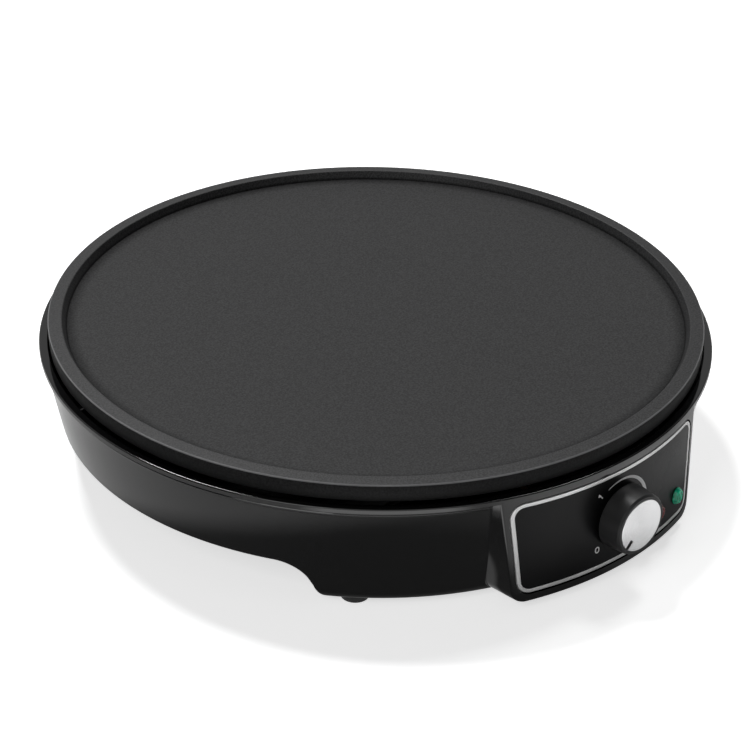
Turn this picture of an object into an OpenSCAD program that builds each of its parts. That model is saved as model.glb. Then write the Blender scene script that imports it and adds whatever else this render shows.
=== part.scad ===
// Electric crepe maker: a round non-stick plate on a moulded bowl-shaped housing, with a control box.
// Millimetres, +Z up, the front (control box) towards -Y, standing on z = 0.

/* [Griddle plate] */
// Diameter of the plate over its rim
plate_d = 304.8; // [296:0.4:320]
// Width of the rim's nearly flat top
rim_w = 6.5; // [5:0.1:9]
// Height of the rim's inner crest over its outer edge
rim_rise = 0.7; // [0.3:0.1:1.5]
// Width of the slope from the crest to the cooking surface
rim_slope_w = 2.2; // [1.8:0.1:5]
// Depth of the cooking surface below the crest
recess = 3.8; // [2.5:0.1:5]
// Thickness of the plate under the cooking surface
plate_t = 3.2; // [2.8:0.1:4]
// Height of the plate's outer wall
plate_wall_h = 8.2; // [7:0.1:11]
// Thickness of the plate's outer wall
plate_wall_t = 2.6; // [2:0.1:4]
// Draft of the plate's outer wall, top to bottom
plate_draft = 0.3; // [0.1:0.1:0.8]

/* [Housing] */
// Height of the housing from its lower edge to its lip
housing_h = 53.6; // [50:0.1:60]
// Wall thickness of the housing
wall_t = 2.4; // [2:0.1:2.8]
// How far the lip stands out past the plate
lip_out = 4.4; // [4:0.1:7]
// Width of the lip's flat top
lip_w = 4; // [3:0.1:4.1]
// Height of the lip's face
lip_h = 2.4; // [1.5:0.1:4]
// Step from the lip's face in to the wall
lip_step = 1.6; // [1:0.1:2.5]
// Depth of the lip's inner face
lip_slope_h = 6.2; // [4:0.1:8]
// Lean of the wall from upright
wall_lean = 12; // [9:0.5:14]
// Gap between the lip's top and the plate's wall
plate_gap = 1.2; // [0.8:0.1:3]

/* [Hand grips] */
// Height of the raised sides over the table
grip_z = 21.7; // [17:0.1:26]
// Half length of the raised sides along their top
grip_half = 84; // [80:0.5:86]
// Steepness of the slope at each end of the raised sides
grip_angle = 74; // [68:1:80]
// Radius at the top of that slope
grip_top_r = 12; // [6:0.5:14]
// Radius at the foot of that slope
grip_foot_r = 3; // [2.9:0.1:5]

/* [Control box] */
// Width of the box at the lip
box_top_w = 128; // [122:0.5:136]
// Width of the box at its foot
box_foot_w = 113.6; // [110:0.2:120]
// Flare of the box's face towards its foot
box_flare = 3; // [1:0.5:5]
// How far the box's face lies inside the lip's face
box_inset = 0.05; // [0.05:0.05:1]
// Radius of the box's lower corners
box_corner_r = 7; // [4:0.5:10]
// Wall thickness of the box
box_wall_t = 3; // [2.6:0.1:3.4]
// Distance from the box's top and foot to the middle of the trim line
trim_margin = 5.3; // [5:0.1:6.5]
// Width across the trim line at its top
trim_top_w = 113.1; // [108:0.1:116]
// Width across the trim line at its foot
trim_foot_w = 105.2; // [100:0.1:107]
// Width of the trim line
trim_w = 1.7; // [1.2:0.1:2.2]
// Corner radius of the trim line
trim_corner_r = 5.5; // [4:0.5:8]
// Width of the groove around the trim
groove_w = 0.8; // [0.4:0.1:1]
// Depth of the pocket that holds the inlay
pocket_t = 1.2; // [1:0.1:1.4]
// Thickness of the inlay
inlay_t = 1; // [0.8:0.1:1]

/* [Knob] */
// Height of the knob's axis over the housing's lower edge
knob_h = 27.4; // [26:0.1:29]
// Radius of the knob at the panel
knob_base_r = 15.2; // [14:0.1:16]
// Radius of the knob at its front edge
knob_top_r = 14.3; // [13.4:0.1:15]
// Length of the knob
knob_len = 11.2; // [10:0.1:16]
// Gap between the panel and the knob
knob_gap = 0.4; // [0.2:0.1:1.5]
// Radius of the aluminium cap
cap_r = 12.3; // [11:0.1:12.4]
// Thickness of the cap
cap_t = 1.2; // [0.8:0.1:2]
// How far the cap stands proud of the knob
cap_proud = 0.2; // [0.1:0.1:0.5]
// Width of the pointer slot
slot_w = 2.2; // [1:0.1:2.8]
// Radius at which the pointer slot starts
slot_start_r = 7.8; // [5:0.1:9]
// Pointer direction at the off mark, anticlockwise from the viewer's right
off_angle = 225; // [210:5:240]
// Shaft radius
shaft_r = 3; // [2.5:0.1:3.2]

/* [Lamps] */
// Height of the lamps over the housing's lower edge
lamp_h = 15.3; // [14:0.1:15.5]
// Angle of the green lamp from the knob, around the plate's axis
green_angle = 16.1; // [15.6:0.1:16.8]
// Angle of the red lamp from the knob
red_angle = 10; // [9.8:0.1:10.8]
// Radius of a lens at the panel
lens_r = 4; // [3.6:0.1:4.2]
// How far a lens stands out
lens_out = 2; // [1:0.1:3]

/* [Feet] */
// Height of the feet under the housing
foot_h = 4.2; // [3.6:0.1:8]
// Radius of a foot at its top
foot_r = 6.8; // [6:0.1:7.4]
// Distance from the wall's lower edge in to the middle of a foot
foot_inset = 8.4; // [8:0.1:12]
// Angle of the feet from the front and the rear
foot_angle = 46; // [44:0.5:47]

/* [Heating] */
// Radius of the element's ring
ring_r = 88; // [84:0.5:92]
// Radius of the element's tube
tube_r = 3.3; // [3:0.1:3.6]
// Half of the gap in the ring, at the front
ring_gap = 20; // [18:1:24]
// Gap between the plate's underside and the heat shield
shield_drop = 12.1; // [11.5:0.1:14]
// Thickness of the heat shield
shield_t = 0.8; // [0.6:0.1:1.2]
// From the plate screws out to the shield's rim
shield_margin = 8; // [7:0.5:12]
// Height of the spacers under the shield
spacer_h = 3.2; // [2:0.1:4]
// Radius of the circle of plate screws
screw_ring_r = 118; // [114:0.5:120]
// Angle of the plate screws from the sides
screw_angle = 60; // [58:1:64]

/* [Cord inlet] */
// Height of the cord bushing over the housing's lower edge
inlet_h = 15.8; // [15:0.1:18]
// Radius of the bushing's bore
inlet_r = 3.6; // [3:0.1:4]

/* [Hidden] */
$fn = 96;

// clearances
shaft_fit = 0.05;      // radial, shaft in its bush
hole_fit = 0.1;        // radial, a shank or stem in its hole
trim_fit = 0.05;       // sides of the inlay and the trim
seat_gap = 0.3;        // a piece beside what carries it

// heights
skirt_z = foot_h;
lip_z = skirt_z + housing_h;
plate_foot_z = lip_z + plate_gap;
plate_edge_z = plate_foot_z + plate_wall_h;
crest_z = plate_edge_z + rim_rise;
cook_z = crest_z - recess;
under_z = cook_z - plate_t;
inner_floor_z = skirt_z + wall_t;
raised_floor_z = grip_z + wall_t;
knob_z = skirt_z + knob_h;
lamp_z = skirt_z + lamp_h;
inlet_z = skirt_z + inlet_h;
shield_z = under_z - shield_drop - shield_t;
tower_z = shield_z - spacer_h;

// housing wall
plate_r = plate_d / 2;
lip_r = plate_r + lip_out;
wall_top_r = lip_r - lip_step;
bead_h = 1.3;           // from the lip's face down to the top of the wall
wall_top_z = lip_z - lip_h - bead_h;
wall_side_t = wall_t / cos(wall_lean);
function wall_r(z) = wall_top_r - (wall_top_z - z) * tan(wall_lean);
lip_inner_r = lip_r - lip_w;
lip_slope_z = lip_z - lip_slope_h;
beyond = lip_r + 20;      // past the whole housing

// control box
function box_r(z) = lip_r - box_inset + (lip_z - z) * tan(box_flare);
box_lean = (box_top_w - box_foot_w) / 2 / housing_h;
box_ceiling_z = lip_z - 8;
trim_top_z = lip_z - trim_margin;
trim_foot_z = skirt_z + trim_margin;
trim_lean = (trim_top_w - trim_foot_w) / 2 / (trim_top_z - trim_foot_z);
inlay_inset = pocket_t - inlay_t;      // the inlay's face behind the box's face
trim_inset = 0.05;                     // the trim's face behind the box's face
mark_t = 0.1;                          // thickness of the printed marks

// knob, shaft and thermostat, with distances out from the plate's axis
knob_base_out = box_r(knob_z - knob_base_r) + knob_gap;
knob_out = knob_base_out + knob_len;
knob_face_out = knob_out + cap_proud;
knob_ring_r = knob_top_r - 0.7;
knob_hub_r = 6.5;
knob_wall_t = 1.6;
knob_lid_t = 2.4;
shaft_flat = shaft_r - 1;
shaft_end_out = knob_out - cap_t - knob_lid_t - seat_gap;
plate_out = box_r(knob_z) - 11.8;      // the thermostat plate's front face
bracket_t = 1.2;
bracket_w = 68;
bracket_h = 13;
bush_r = 5;
bush_len = 10;
body_w = 36;
body_h = 30;
body_len = 24.8;
body_out = plate_out - bracket_t;      // the thermostat body's front face
body_back_out = body_out - body_len;
collar_r = 5;
collar_t = 2;
collar_room = seat_gap;
shaft_start_out = body_out - 13;
boss_x = 27;
boss_r = 4;
boss_screw_len = 6;
tab_w = 6.3;
tab_t = 0.8;
tab_len = 8;
tab_x = 10;
tab_z = knob_z - 6.4;

// screws: [shank radius, head radius, head height]
small_screw = [1.4, 3, 1.9];
foot_screw = [1.5, 2.8, 1.4];
plate_screw = [1.95, 3.8, 3];

// lamps
stem_r = lens_r - 1;
sleeve_r = stem_r + 1.1;
stem_len = 8.5;
sleeve_len = 20;
neon_r = stem_r - 0.2;
neon_len = 12;
sleeve_end_out = box_r(lamp_z) - box_wall_t - seat_gap;
neon_front_out = box_r(lamp_z) - inlay_inset - stem_len - seat_gap;
lamp_back = neon_front_out - neon_len - seat_gap;
lamp_lead_r = 0.6;
lamp_lead_x = 1.3;
lead_bend = lamp_back - 7;      // where a lead leaves its lamp's axis
function lamp_point(a, x, out) = [x * cos(a) + out * sin(a), x * sin(a) - out * cos(a),
    lamp_z - (box_r(lamp_z) - out) * tan(box_flare)];
green_neutral = lamp_point(green_angle, lamp_lead_x, lead_bend);
red_neutral = lamp_point(red_angle, lamp_lead_x, lead_bend);

// plate underside
rib_w = 9;
rib_h = 7.3;
rib_end = ring_gap + 1;
ring_z = under_z - 4.7;
bend_r = 8;
leg_r = tube_r - 0.05;
leg_len = 6;
leg_end_z = ring_z - bend_r - leg_len;
leg_x = ring_r * sin(ring_gap) - bend_r * cos(ring_gap);
leg_y = -ring_r * cos(ring_gap) - bend_r * sin(ring_gap);
seal_len = 4;
tab_drop = 10;
plate_boss_r = 5;
hole_top_z = cook_z - 6;
seat_z = tower_z - 14.8;      // seat of the plate screws' heads
tower_r = 7;
well_r = 4.5;
shield_r = screw_ring_r + shield_margin;
shield_rim_h = 6;
leg_hole_r = tube_r + 1.7;
wire_hole_r = 3;
earth_y = 62;
earth_boss_r = 5;

// slots in the raised floor
vent_size = [4, 36];
vent_pitch = 12;
vent_y = 38;

// sensor bulb and thermal fuse under the plate
bulb_r = 3;
bulb_len = 70;
bulb_y = 20;
bulb_z = under_z - bulb_r - hole_fit;
fuse_r = 2;
fuse_len = 20;
fuse_x = -45;
fuse_y = -35;
fuse_z = under_z - fuse_r - hole_fit;
clip_t = 0.8;
clip_w = 7;
clip_reach = 9.5;      // from a clip's screw to what it holds
clip_pad_r = 4;
clip_screw_len = 6;

// wires
wire_r = 1.2;
capillary_r = 1;
wire_z = raised_floor_z + wire_r + seat_gap;
back_y = -body_back_out;      // the thermostat's rear face
live_tab = [-tab_x, back_y + tab_len + seat_gap, tab_z];
switched_tab = [tab_x, live_tab[1], tab_z];
leg_wire_y = leg_y + tab_t / 2 + seat_gap;
leg_lead_y = leg_y - tab_t / 2 - seat_gap;
shield_wire_z = shield_z - 6;
earth_wire_z = shield_z - tab_t - wire_r - seat_gap;
fuse_hole_a = [-43, -10];
fuse_hole_b = [-41, -62];
bulb_hole = [50, 4];

// terminal block
block_size = [38, 18, 15];
block_lift = 2.4;
block_z = inner_floor_z + block_lift;
pole_x = 12;
pole_r = 2.2;
pole_z = block_z + 6.5;
clamp_y = 5;
fixing_x = 6;

block_gap = 4.2;      // from the slope of the raised floor to the block
block_y = grip_side(skirt_z + wall_t, wall_t) + block_gap + block_size[1] / 2;
block_front_y = block_y - block_size[1] / 2 - seat_gap;
drop_y = block_front_y - 6.7;      // where the wires come down off the raised floor
drop_z = raised_floor_z - 1.1;

// cord bushing
inlet_pad_r = 10.5;
inlet_pad_out = wall_r(inlet_z) + 3;
inlet_pad_t = 8;
bushing_r = inlet_r + 2.8;
bushing_flange_r = bushing_r + 2.6;
bushing_flange_t = 2.5;
bushing_barb_r = bushing_r + 1.1;

// feet
foot_ring_r = wall_r(skirt_z) - foot_inset;
foot_bottom_r = foot_r - 0.4;
foot_pad_r = foot_r + 0.8;
foot_head_z = 2;
foot_screw_top = skirt_z + 9;

// the plate's axis lies behind the origin, so that the origin is under the middle of the whole
axis_y = (knob_face_out - lip_r) / 2;

// a polygon's points [x, y, radius], with each corner rounded to its radius
function unit(v) = v / norm(v);
function corner(a, p, b, r, n) = r == 0 ? [p] : let(
    u = unit(a - p), v = unit(b - p), half = acos(u * v) / 2,
    c = p + unit(u + v) * r / sin(half),
    s = p + u * r / tan(half) - c, e = p + v * r / tan(half) - c,
    a0 = atan2(s[1], s[0]), sweep = (atan2(e[1], e[0]) - a0 + 540) % 360 - 180)
    [for (i = [0:n]) c + r * [cos(a0 + sweep * i / n), sin(a0 + sweep * i / n)]];
function flat(p) = [p[0], p[1]];
function rounded(pts, n = 6) = [for (i = [0:len(pts) - 1])
    each corner(flat(pts[(i + len(pts) - 1) % len(pts)]), flat(pts[i]),
        flat(pts[(i + 1) % len(pts)]), pts[i][2], n)];

module on_axis() translate([0, axis_y, 0]) children();
module lathe(pts) rotate_extrude($fn = 180) polygon(pts);
// the children's +Z points out from the plate's axis at angle a from the front, their Y up
module outward(a, z) rotate([0, 0, a]) translate([0, 0, z]) rotate([90, 0, 0]) children();
module ring(r_out, r_in, h) difference() {
    cylinder(r = r_out, h = h);
    translate([0, 0, -1]) cylinder(r = r_in, h = h + 2);
}
module screw(s, length) {
    translate([0, 0, -s[2]]) cylinder(r = s[1], h = s[2], $fn = 48);
    cylinder(r = s[0], h = length, $fn = 48);
}
module at_plate_screws() for (sx = [-1, 1], sy = [-1, 1])
    translate([sx * screw_ring_r * cos(screw_angle), sy * screw_ring_r * sin(screw_angle), 0])
        children();
module at_feet() for (sx = [-1, 1], sy = [-1, 1])
    translate([sx * foot_ring_r * sin(foot_angle), sy * foot_ring_r * cos(foot_angle), 0])
        children();
// as outward, but square to the box's leaning face
module square_to_face(a, z) outward(a, z) translate([0, 0, box_r(z)]) rotate([-box_flare, 0, 0])
    translate([0, 0, -box_r(z)]) children();
module at_lamps() for (a = [green_angle, red_angle]) square_to_face(a, lamp_z) children();

// an 8-sided tube along a list of points
function step_dir(p, i) = let(last = len(p) - 1)
    i == 0 ? unit(p[1] - p[0]) : i == last ? unit(p[last] - p[last - 1])
    : unit(unit(p[i] - p[i - 1]) + unit(p[i + 1] - p[i]));
function side_of(d) = unit(abs(d[2]) > 0.9 ? cross(d, [0, 1, 0]) : cross(d, [0, 0, 1]));
function tube_sides(p, i, s) = i == len(p) ? [] : let(
    d = step_dir(p, i), k = i == 0 ? side_of(d) : unit(s - (s * d) * d))
    concat([k], tube_sides(p, i + 1, k));
function spline(p, i, t) = let(
    a = p[max(i - 1, 0)], b = p[i], c = p[i + 1], d = p[min(i + 2, len(p) - 1)])
    b + t * (c - a) / 2 + t * t * (a - 2.5 * b + 2 * c - d / 2)
    + t * t * t * (-a + 3 * b - 3 * c + d) / 2;
function smooth(p, n) = concat([for (i = [0:len(p) - 2], k = [0:n - 1]) spline(p, i, k / n)],
    [p[len(p) - 1]]);
module tube(p, r, n = 3) {
    path = smooth(p, n);
    sides = tube_sides(path, 0, [0, 0, 0]);
    m = 8;
    last = len(path) - 1;
    points = [for (i = [0:last], j = [0:m - 1]) let(d = step_dir(path, i), u = sides[i], a = j * 360 / m)
        path[i] + r * (cos(a) * u + sin(a) * cross(d, u))];
    faces = concat([[for (j = [0:m - 1]) j]],
        [for (i = [0:last - 1], j = [0:m - 1]) let(k = (j + 1) % m)
            [i * m + j, (i + 1) * m + j, (i + 1) * m + k, i * m + k]],
        [[for (j = [m - 1:-1:0]) last * m + j]]);
    polyhedron(points, faces);
}

// ---- griddle plate ----
function plate_outline() = rounded([
    [0, under_z, 0],
    [plate_r - plate_wall_t, under_z, 0.8],
    [plate_r - plate_draft - plate_wall_t, plate_foot_z, 0.5],
    [plate_r - plate_draft, plate_foot_z, 0.5],
    [plate_r, plate_edge_z, 0.8],
    [plate_r - rim_w, crest_z, 0.6],
    [plate_r - rim_w - rim_slope_w, cook_z, 0.3],
    [0, cook_z, 0]]);
module rib() rotate([0, 0, rib_end - 90])
    rotate_extrude(angle = 360 - 2 * rib_end, $fn = 180)
        translate([ring_r - rib_w / 2, under_z - rib_h]) square([rib_w, rib_h + plate_t / 2]);
module clip_pad(r) translate([0, 0, under_z - 2 * r - hole_fit])
    cylinder(r = clip_pad_r, h = 2 * r + hole_fit + plate_t / 2, $fn = 48);
module clip_hole(r) translate([0, 0, under_z - 2 * r - hole_fit - 1])
    cylinder(r = small_screw[0] + hole_fit, h = clip_screw_len + 1, $fn = 48);
module boss_hole() translate([0, 0, shield_z])
    cylinder(r = plate_screw[0] + shaft_fit, h = hole_top_z - shield_z, $fn = 48);
module under_boss(r) translate([0, 0, shield_z + shield_t])
    cylinder(r = r, h = under_z - shield_z - shield_t + plate_t / 2, $fn = 48);
module griddle_plate() color([0.2, 0.2, 0.21]) on_axis() difference() {
    union() {
        lathe(plate_outline());
        rib();
        at_plate_screws() under_boss(plate_boss_r);
        translate([0, earth_y, 0]) under_boss(earth_boss_r);
        translate([0, bulb_y + clip_reach, 0]) clip_pad(bulb_r);
        translate([fuse_x - clip_reach, fuse_y, 0]) clip_pad(fuse_r);
    }
    rotate_extrude($fn = 180) translate([ring_r, ring_z]) circle(r = tube_r + shaft_fit, $fn = 48);
    at_plate_screws() boss_hole();
    translate([0, earth_y, 0]) boss_hole();
    translate([0, bulb_y + clip_reach, 0]) clip_hole(bulb_r);
    translate([fuse_x - clip_reach, fuse_y, 0]) clip_hole(fuse_r);
}

// ---- housing ----
function skin_outline() = rounded([
    [0, skirt_z, 0],
    [wall_r(skirt_z), skirt_z, 0],
    [wall_top_r, wall_top_z, 0.3],
    [wall_top_r + 0.4, lip_z - lip_h - 0.4, 0.2],
    [lip_r, lip_z - lip_h, 0.3],
    [lip_r, lip_z, 0.7],
    [lip_inner_r, lip_z, 0.3],
    [lip_inner_r, lip_z - 0.6, 0],
    [0, lip_z - 0.6, 0]]);
function bowl_outline() = rounded([
    [0, inner_floor_z, 0],
    [wall_r(inner_floor_z) - wall_side_t, inner_floor_z, 2],
    [wall_r(lip_slope_z) - wall_side_t, lip_slope_z, 0.5],
    [lip_inner_r - 0.4, lip_z - 1.2, 0.4],
    [lip_inner_r - 0.4, lip_z + 1, 0],
    [0, lip_z + 1, 0]]);
// the space under the raised sides, grown by t
function grip_side(z, t) = grip_half + t / sin(grip_angle) + (grip_z - z) / tan(grip_angle);
function grip_outline(t) = let(top = grip_z + t, low = skirt_z + t,
    yt = grip_side(top, t), yb = grip_side(low, t))
    rounded([[-beyond, -5, 0], [-beyond, low, 0], [-yb, low, grip_foot_r - t],
        [-yt, top, grip_top_r + t], [yt, top, grip_top_r + t], [yb, low, grip_foot_r - t],
        [beyond, low, 0], [beyond, -5, 0]], 12);
module grip_space(t) rotate([90, 0, 90])
    linear_extrude(height = 2 * beyond, center = true) polygon(grip_outline(t));
// a solid cone, the box's face moved in by t
module face_cone(t) translate([0, 0, skirt_z])
    cylinder(r1 = box_r(skirt_z) - t, r2 = box_r(lip_z - 0.5) - t, h = lip_z - 0.5 - skirt_z, $fn = 180);
module front_prism() rotate([90, 0, 0]) linear_extrude(height = beyond) children();
module box_profile(t, top_z) {
    low_z = skirt_z + t;
    low_x = box_foot_w / 2 - t + (low_z - skirt_z) * box_lean;
    top_x = box_foot_w / 2 - t + (top_z - skirt_z) * box_lean;
    r = max(box_corner_r - t, 0.5);
    polygon(rounded([[-low_x, low_z, r], [low_x, low_z, r], [top_x, top_z, 0], [-top_x, top_z, 0]], 10));
}
module trim_profile(grow) {
    side = grow * sqrt(1 + trim_lean * trim_lean);
    low_x = trim_foot_w / 2 + side - grow * trim_lean;
    top_x = trim_top_w / 2 + side + grow * trim_lean;
    r = trim_corner_r + grow;
    polygon(rounded([[-low_x, trim_foot_z - grow, r], [low_x, trim_foot_z - grow, r],
        [top_x, trim_top_z + grow, r], [-top_x, trim_top_z + grow, r]], 10));
}
module housing_skin() difference() {
    union() {
        lathe(skin_outline());
        intersection() {
            face_cone(0);
            front_prism() box_profile(0, lip_z - 0.5);
        }
    }
    grip_space(0);
}
module housing_room() difference() {
    union() {
        lathe(bowl_outline());
        intersection() {
            face_cone(box_wall_t);
            front_prism() box_profile(box_wall_t, box_ceiling_z);
        }
    }
    grip_space(wall_t);
}
module thermostat_bosses() intersection() {
    face_cone(box_wall_t - 0.6);
    for (sx = [-1, 1]) outward(0, knob_z) translate([sx * boss_x, 0, plate_out])
        cylinder(r = boss_r, h = beyond - plate_out, $fn = 48);
}
module vent_slots() for (i = [-4:4], sy = [-1, 1]) translate([i * vent_pitch, sy * vent_y, grip_z - 1])
    linear_extrude(height = wall_t + 2) union() {
        square(vent_size, center = true);
        for (e = [-0.5, 0.5]) translate([0, e * vent_size[1]]) circle(r = vent_size[0] / 2, $fn = 32);
    }
module inlet_pad() translate([0, 0, inlet_z]) rotate([-90, 0, 0])
    translate([0, 0, inlet_pad_out - inlet_pad_t]) cylinder(r = inlet_pad_r, h = inlet_pad_t, $fn = 64);
module lamp_hole() translate([0, 0, body_out]) cylinder(r = stem_r + hole_fit, h = 30, $fn = 48);
module shaft_hole() outward(0, knob_z) translate([0, 0, body_out])
    cylinder(r = bush_r + hole_fit, h = 30, $fn = 64);
module base_housing() color([0.05, 0.05, 0.055]) on_axis() difference() {
    union() {
        difference() {
            housing_skin();
            housing_room();
        }
        at_plate_screws() translate([0, 0, skirt_z])
            cylinder(r = tower_r, h = tower_z - skirt_z, $fn = 48);
        at_feet() translate([0, 0, skirt_z])
            cylinder(r = foot_pad_r, h = raised_floor_z - skirt_z, $fn = 48);
        thermostat_bosses();
        inlet_pad();
        for (sx = [-1, 1]) translate([sx * fixing_x, block_y, skirt_z + wall_t / 2])
            cylinder(r = boss_r, h = block_lift + wall_t / 2, $fn = 48);
    }
    // pocket for the inlay
    intersection() {
        front_prism() trim_profile(trim_w / 2 + groove_w);
        difference() {
            cylinder(r = beyond, h = lip_z, $fn = 180);
            face_cone(pocket_t);
        }
    }
    shaft_hole();
    at_lamps() lamp_hole();
    for (sx = [-1, 1]) outward(0, knob_z) translate([sx * boss_x, 0, plate_out - 1])
        cylinder(r = small_screw[0] + hole_fit, h = boss_screw_len + 1.5, $fn = 48);
    at_plate_screws() {
        translate([0, 0, skirt_z - 1]) cylinder(r = well_r, h = seat_z - skirt_z + 1, $fn = 48);
        translate([0, 0, seat_z - 1])
            cylinder(r = plate_screw[0] + 2 * hole_fit, h = tower_z - seat_z + 2, $fn = 48);
    }
    at_feet() translate([0, 0, skirt_z - 1])
        cylinder(r = foot_screw[0] + shaft_fit, h = foot_screw_top - skirt_z + 2, $fn = 48);
    vent_slots();
    translate([0, 0, inlet_z]) rotate([-90, 0, 0]) translate([0, 0, inlet_pad_out - inlet_pad_t - 2])
        cylinder(r = bushing_r + hole_fit, h = inlet_pad_t + 4, $fn = 64);
    for (sx = [-1, 1]) translate([sx * fixing_x, block_y, skirt_z + wall_t / 2])
        cylinder(r = small_screw[0] + hole_fit, h = block_lift + wall_t, $fn = 48);
}

// ---- control panel ----
module face_layer(t_out, t_in) intersection() {
    difference() {
        face_cone(t_out);
        face_cone(t_in);
    }
    front_prism() children();
}
module control_panel() color([0.12, 0.12, 0.125]) on_axis() difference() {
    face_layer(inlay_inset, pocket_t - trim_fit) trim_profile(-trim_w / 2 - trim_fit);
    shaft_hole();
    at_lamps() lamp_hole();
}
module panel_frame() color([0.78, 0.78, 0.78]) on_axis()
    face_layer(trim_inset, pocket_t - trim_fit) difference() {
        trim_profile(trim_w / 2);
        trim_profile(-trim_w / 2);
    }
// the dial's marks, seen from the front, about the knob's axis
module crescent() intersection() {
    difference() {
        translate([1.4, 0.2]) circle(r = 17.1);
        translate([0.3, 0.2]) circle(r = 16.3);
    }
    polygon(concat([[0, 0]], [for (a = [-40:15.7:117.5]) 30 * [cos(a), sin(a)]]));
}
module figure_zero() difference() {
    union() {
        circle(r = 1.25, $fn = 32);
        translate([-1.25, -0.35]) square([2.5, 0.7]);
        for (e = [-0.35, 0.35]) translate([0, e]) circle(r = 1.25, $fn = 32);
    }
    translate([-0.7, -0.35]) square([1.4, 0.7]);
    for (e = [-0.35, 0.35]) translate([0, e]) circle(r = 0.7, $fn = 32);
}
module figure_one() polygon([[-0.3, -1.6], [0.3, -1.6], [0.3, 1.6], [-0.2, 1.6], [-1, 0.9], [-0.7, 0.5],
    [-0.3, 0.85]]);
module figure_five() {
    translate([-1, 1.05]) square([2, 0.55]);
    translate([-1, 0]) square([0.55, 1.2]);
    intersection() {
        difference() {
            translate([-0.1, -0.55]) circle(r = 1.1, $fn = 32);
            translate([-0.1, -0.55]) circle(r = 0.55, $fn = 32);
        }
        polygon([[-0.1, -0.55], [-1.8, -1.2], [0, -2.4], [2, -1], [1.6, 1], [-0.8, 1.2]]);
    }
}
module scale_marks() color([0.8, 0.8, 0.8]) on_axis()
    face_layer(inlay_inset - mark_t, inlay_inset) translate([0, knob_z]) {
        crescent();
        translate([-13.5, -13.2]) figure_zero();
        translate([-12, 13.1]) rotate(43) figure_one();
        translate([13.9, -13.2]) figure_five();
    }

// ---- knob ----
module knob_body() color([0.09, 0.09, 0.095]) on_axis() outward(0, knob_z) difference() {
    rotate_extrude() polygon(rounded([
        [0, knob_out - cap_t - knob_lid_t, 0],
        [0, knob_out, 0],
        [knob_ring_r, knob_out, 0.3],
        [knob_top_r, knob_out - 1, 0.5],
        [knob_base_r, knob_base_out, 0.2],
        [knob_base_r - knob_wall_t, knob_base_out, 0],
        [knob_top_r - knob_wall_t, knob_out - cap_t - knob_lid_t, 0.5],
        [knob_hub_r, knob_out - cap_t - knob_lid_t, 0],
        [knob_hub_r, knob_base_out, 0],
        [0, knob_base_out, 0]], 4));
    translate([0, 0, knob_out - cap_t + cap_proud]) cylinder(r = cap_r + trim_fit, h = cap_t);
    intersection() {
        translate([0, 0, knob_base_out - 1]) cylinder(r = shaft_r + shaft_fit,
            h = shaft_end_out - knob_base_out + 1 + seat_gap, $fn = 64);
        rotate([0, 0, off_angle]) translate([-beyond, -beyond, 0])
            cube([beyond + shaft_flat + shaft_fit, 2 * beyond, beyond * 2]);
    }
}
module knob_cap() color([0.85, 0.85, 0.86]) on_axis() outward(0, knob_z) difference() {
    translate([0, 0, knob_out - cap_t + cap_proud]) cylinder(r = cap_r, h = cap_t);
    rotate([0, 0, off_angle]) translate([slot_start_r, -slot_w / 2, knob_out - cap_t])
        cube([cap_r, slot_w, cap_t * 2]);
}
module thermostat_shaft() color([0.75, 0.75, 0.76]) on_axis() outward(0, knob_z) {
    difference() {
        translate([0, 0, shaft_start_out])
            cylinder(r = shaft_r, h = shaft_end_out - shaft_start_out, $fn = 64);
        rotate([0, 0, off_angle]) translate([shaft_flat, -beyond, plate_out + bush_len + 1])
            cube([10, 2 * beyond, beyond]);
    }
    translate([0, 0, body_out - collar_room - collar_t]) cylinder(r = collar_r, h = collar_t, $fn = 64);
}

// ---- thermostat ----
module thermostat_body() color([0.07, 0.065, 0.06]) on_axis() outward(0, knob_z) difference() {
    translate([-body_w / 2, -body_h / 2, body_back_out]) cube([body_w, body_h, body_len]);
    translate([0, 0, shaft_start_out - 1]) cylinder(r = shaft_r + shaft_fit, h = beyond, $fn = 64);
    translate([0, 0, body_out - collar_t - 2 * collar_room])
        cylinder(r = collar_r + seat_gap, h = beyond, $fn = 64);
}
module thermostat_plate() color([0.72, 0.73, 0.74]) on_axis() outward(0, knob_z) difference() {
    union() {
        translate([-bracket_w / 2, -bracket_h / 2, plate_out - bracket_t])
            cube([bracket_w, bracket_h, bracket_t]);
        translate([-body_w / 2, -body_h / 2, plate_out - bracket_t]) cube([body_w, body_h, bracket_t]);
        translate([0, 0, plate_out - bracket_t / 2]) cylinder(r = bush_r, h = bush_len + bracket_t / 2);
    }
    translate([0, 0, body_out - 1]) cylinder(r = shaft_r + shaft_fit, h = beyond, $fn = 64);
    for (sx = [-1, 1]) translate([sx * boss_x, 0, body_out - 1])
        cylinder(r = small_screw[0] + hole_fit, h = 5, $fn = 48);
}
module thermostat_screws() color([0.7, 0.7, 0.72]) on_axis() outward(0, knob_z)
    for (sx = [-1, 1]) translate([sx * boss_x, 0, body_out]) screw(small_screw, bracket_t + boss_screw_len);
module thermostat_tabs() color([0.85, 0.75, 0.4]) on_axis()
    for (sx = [-1, 1]) translate([sx * tab_x - tab_t / 2, -body_back_out, tab_z - tab_w / 2])
        cube([tab_t, tab_len, tab_w]);

// ---- sensor bulb, fuse and their clips ----
module sensor_bulb() color([0.8, 0.55, 0.35]) on_axis() translate([-bulb_len / 2, bulb_y, bulb_z])
    rotate([0, 90, 0]) cylinder(r = bulb_r, h = bulb_len, $fn = 48);
module thermal_fuse() color([0.85, 0.85, 0.8]) on_axis() translate([fuse_x, fuse_y + fuse_len / 2, fuse_z])
    rotate([90, 0, 0]) cylinder(r = fuse_r, h = fuse_len, $fn = 48);
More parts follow.
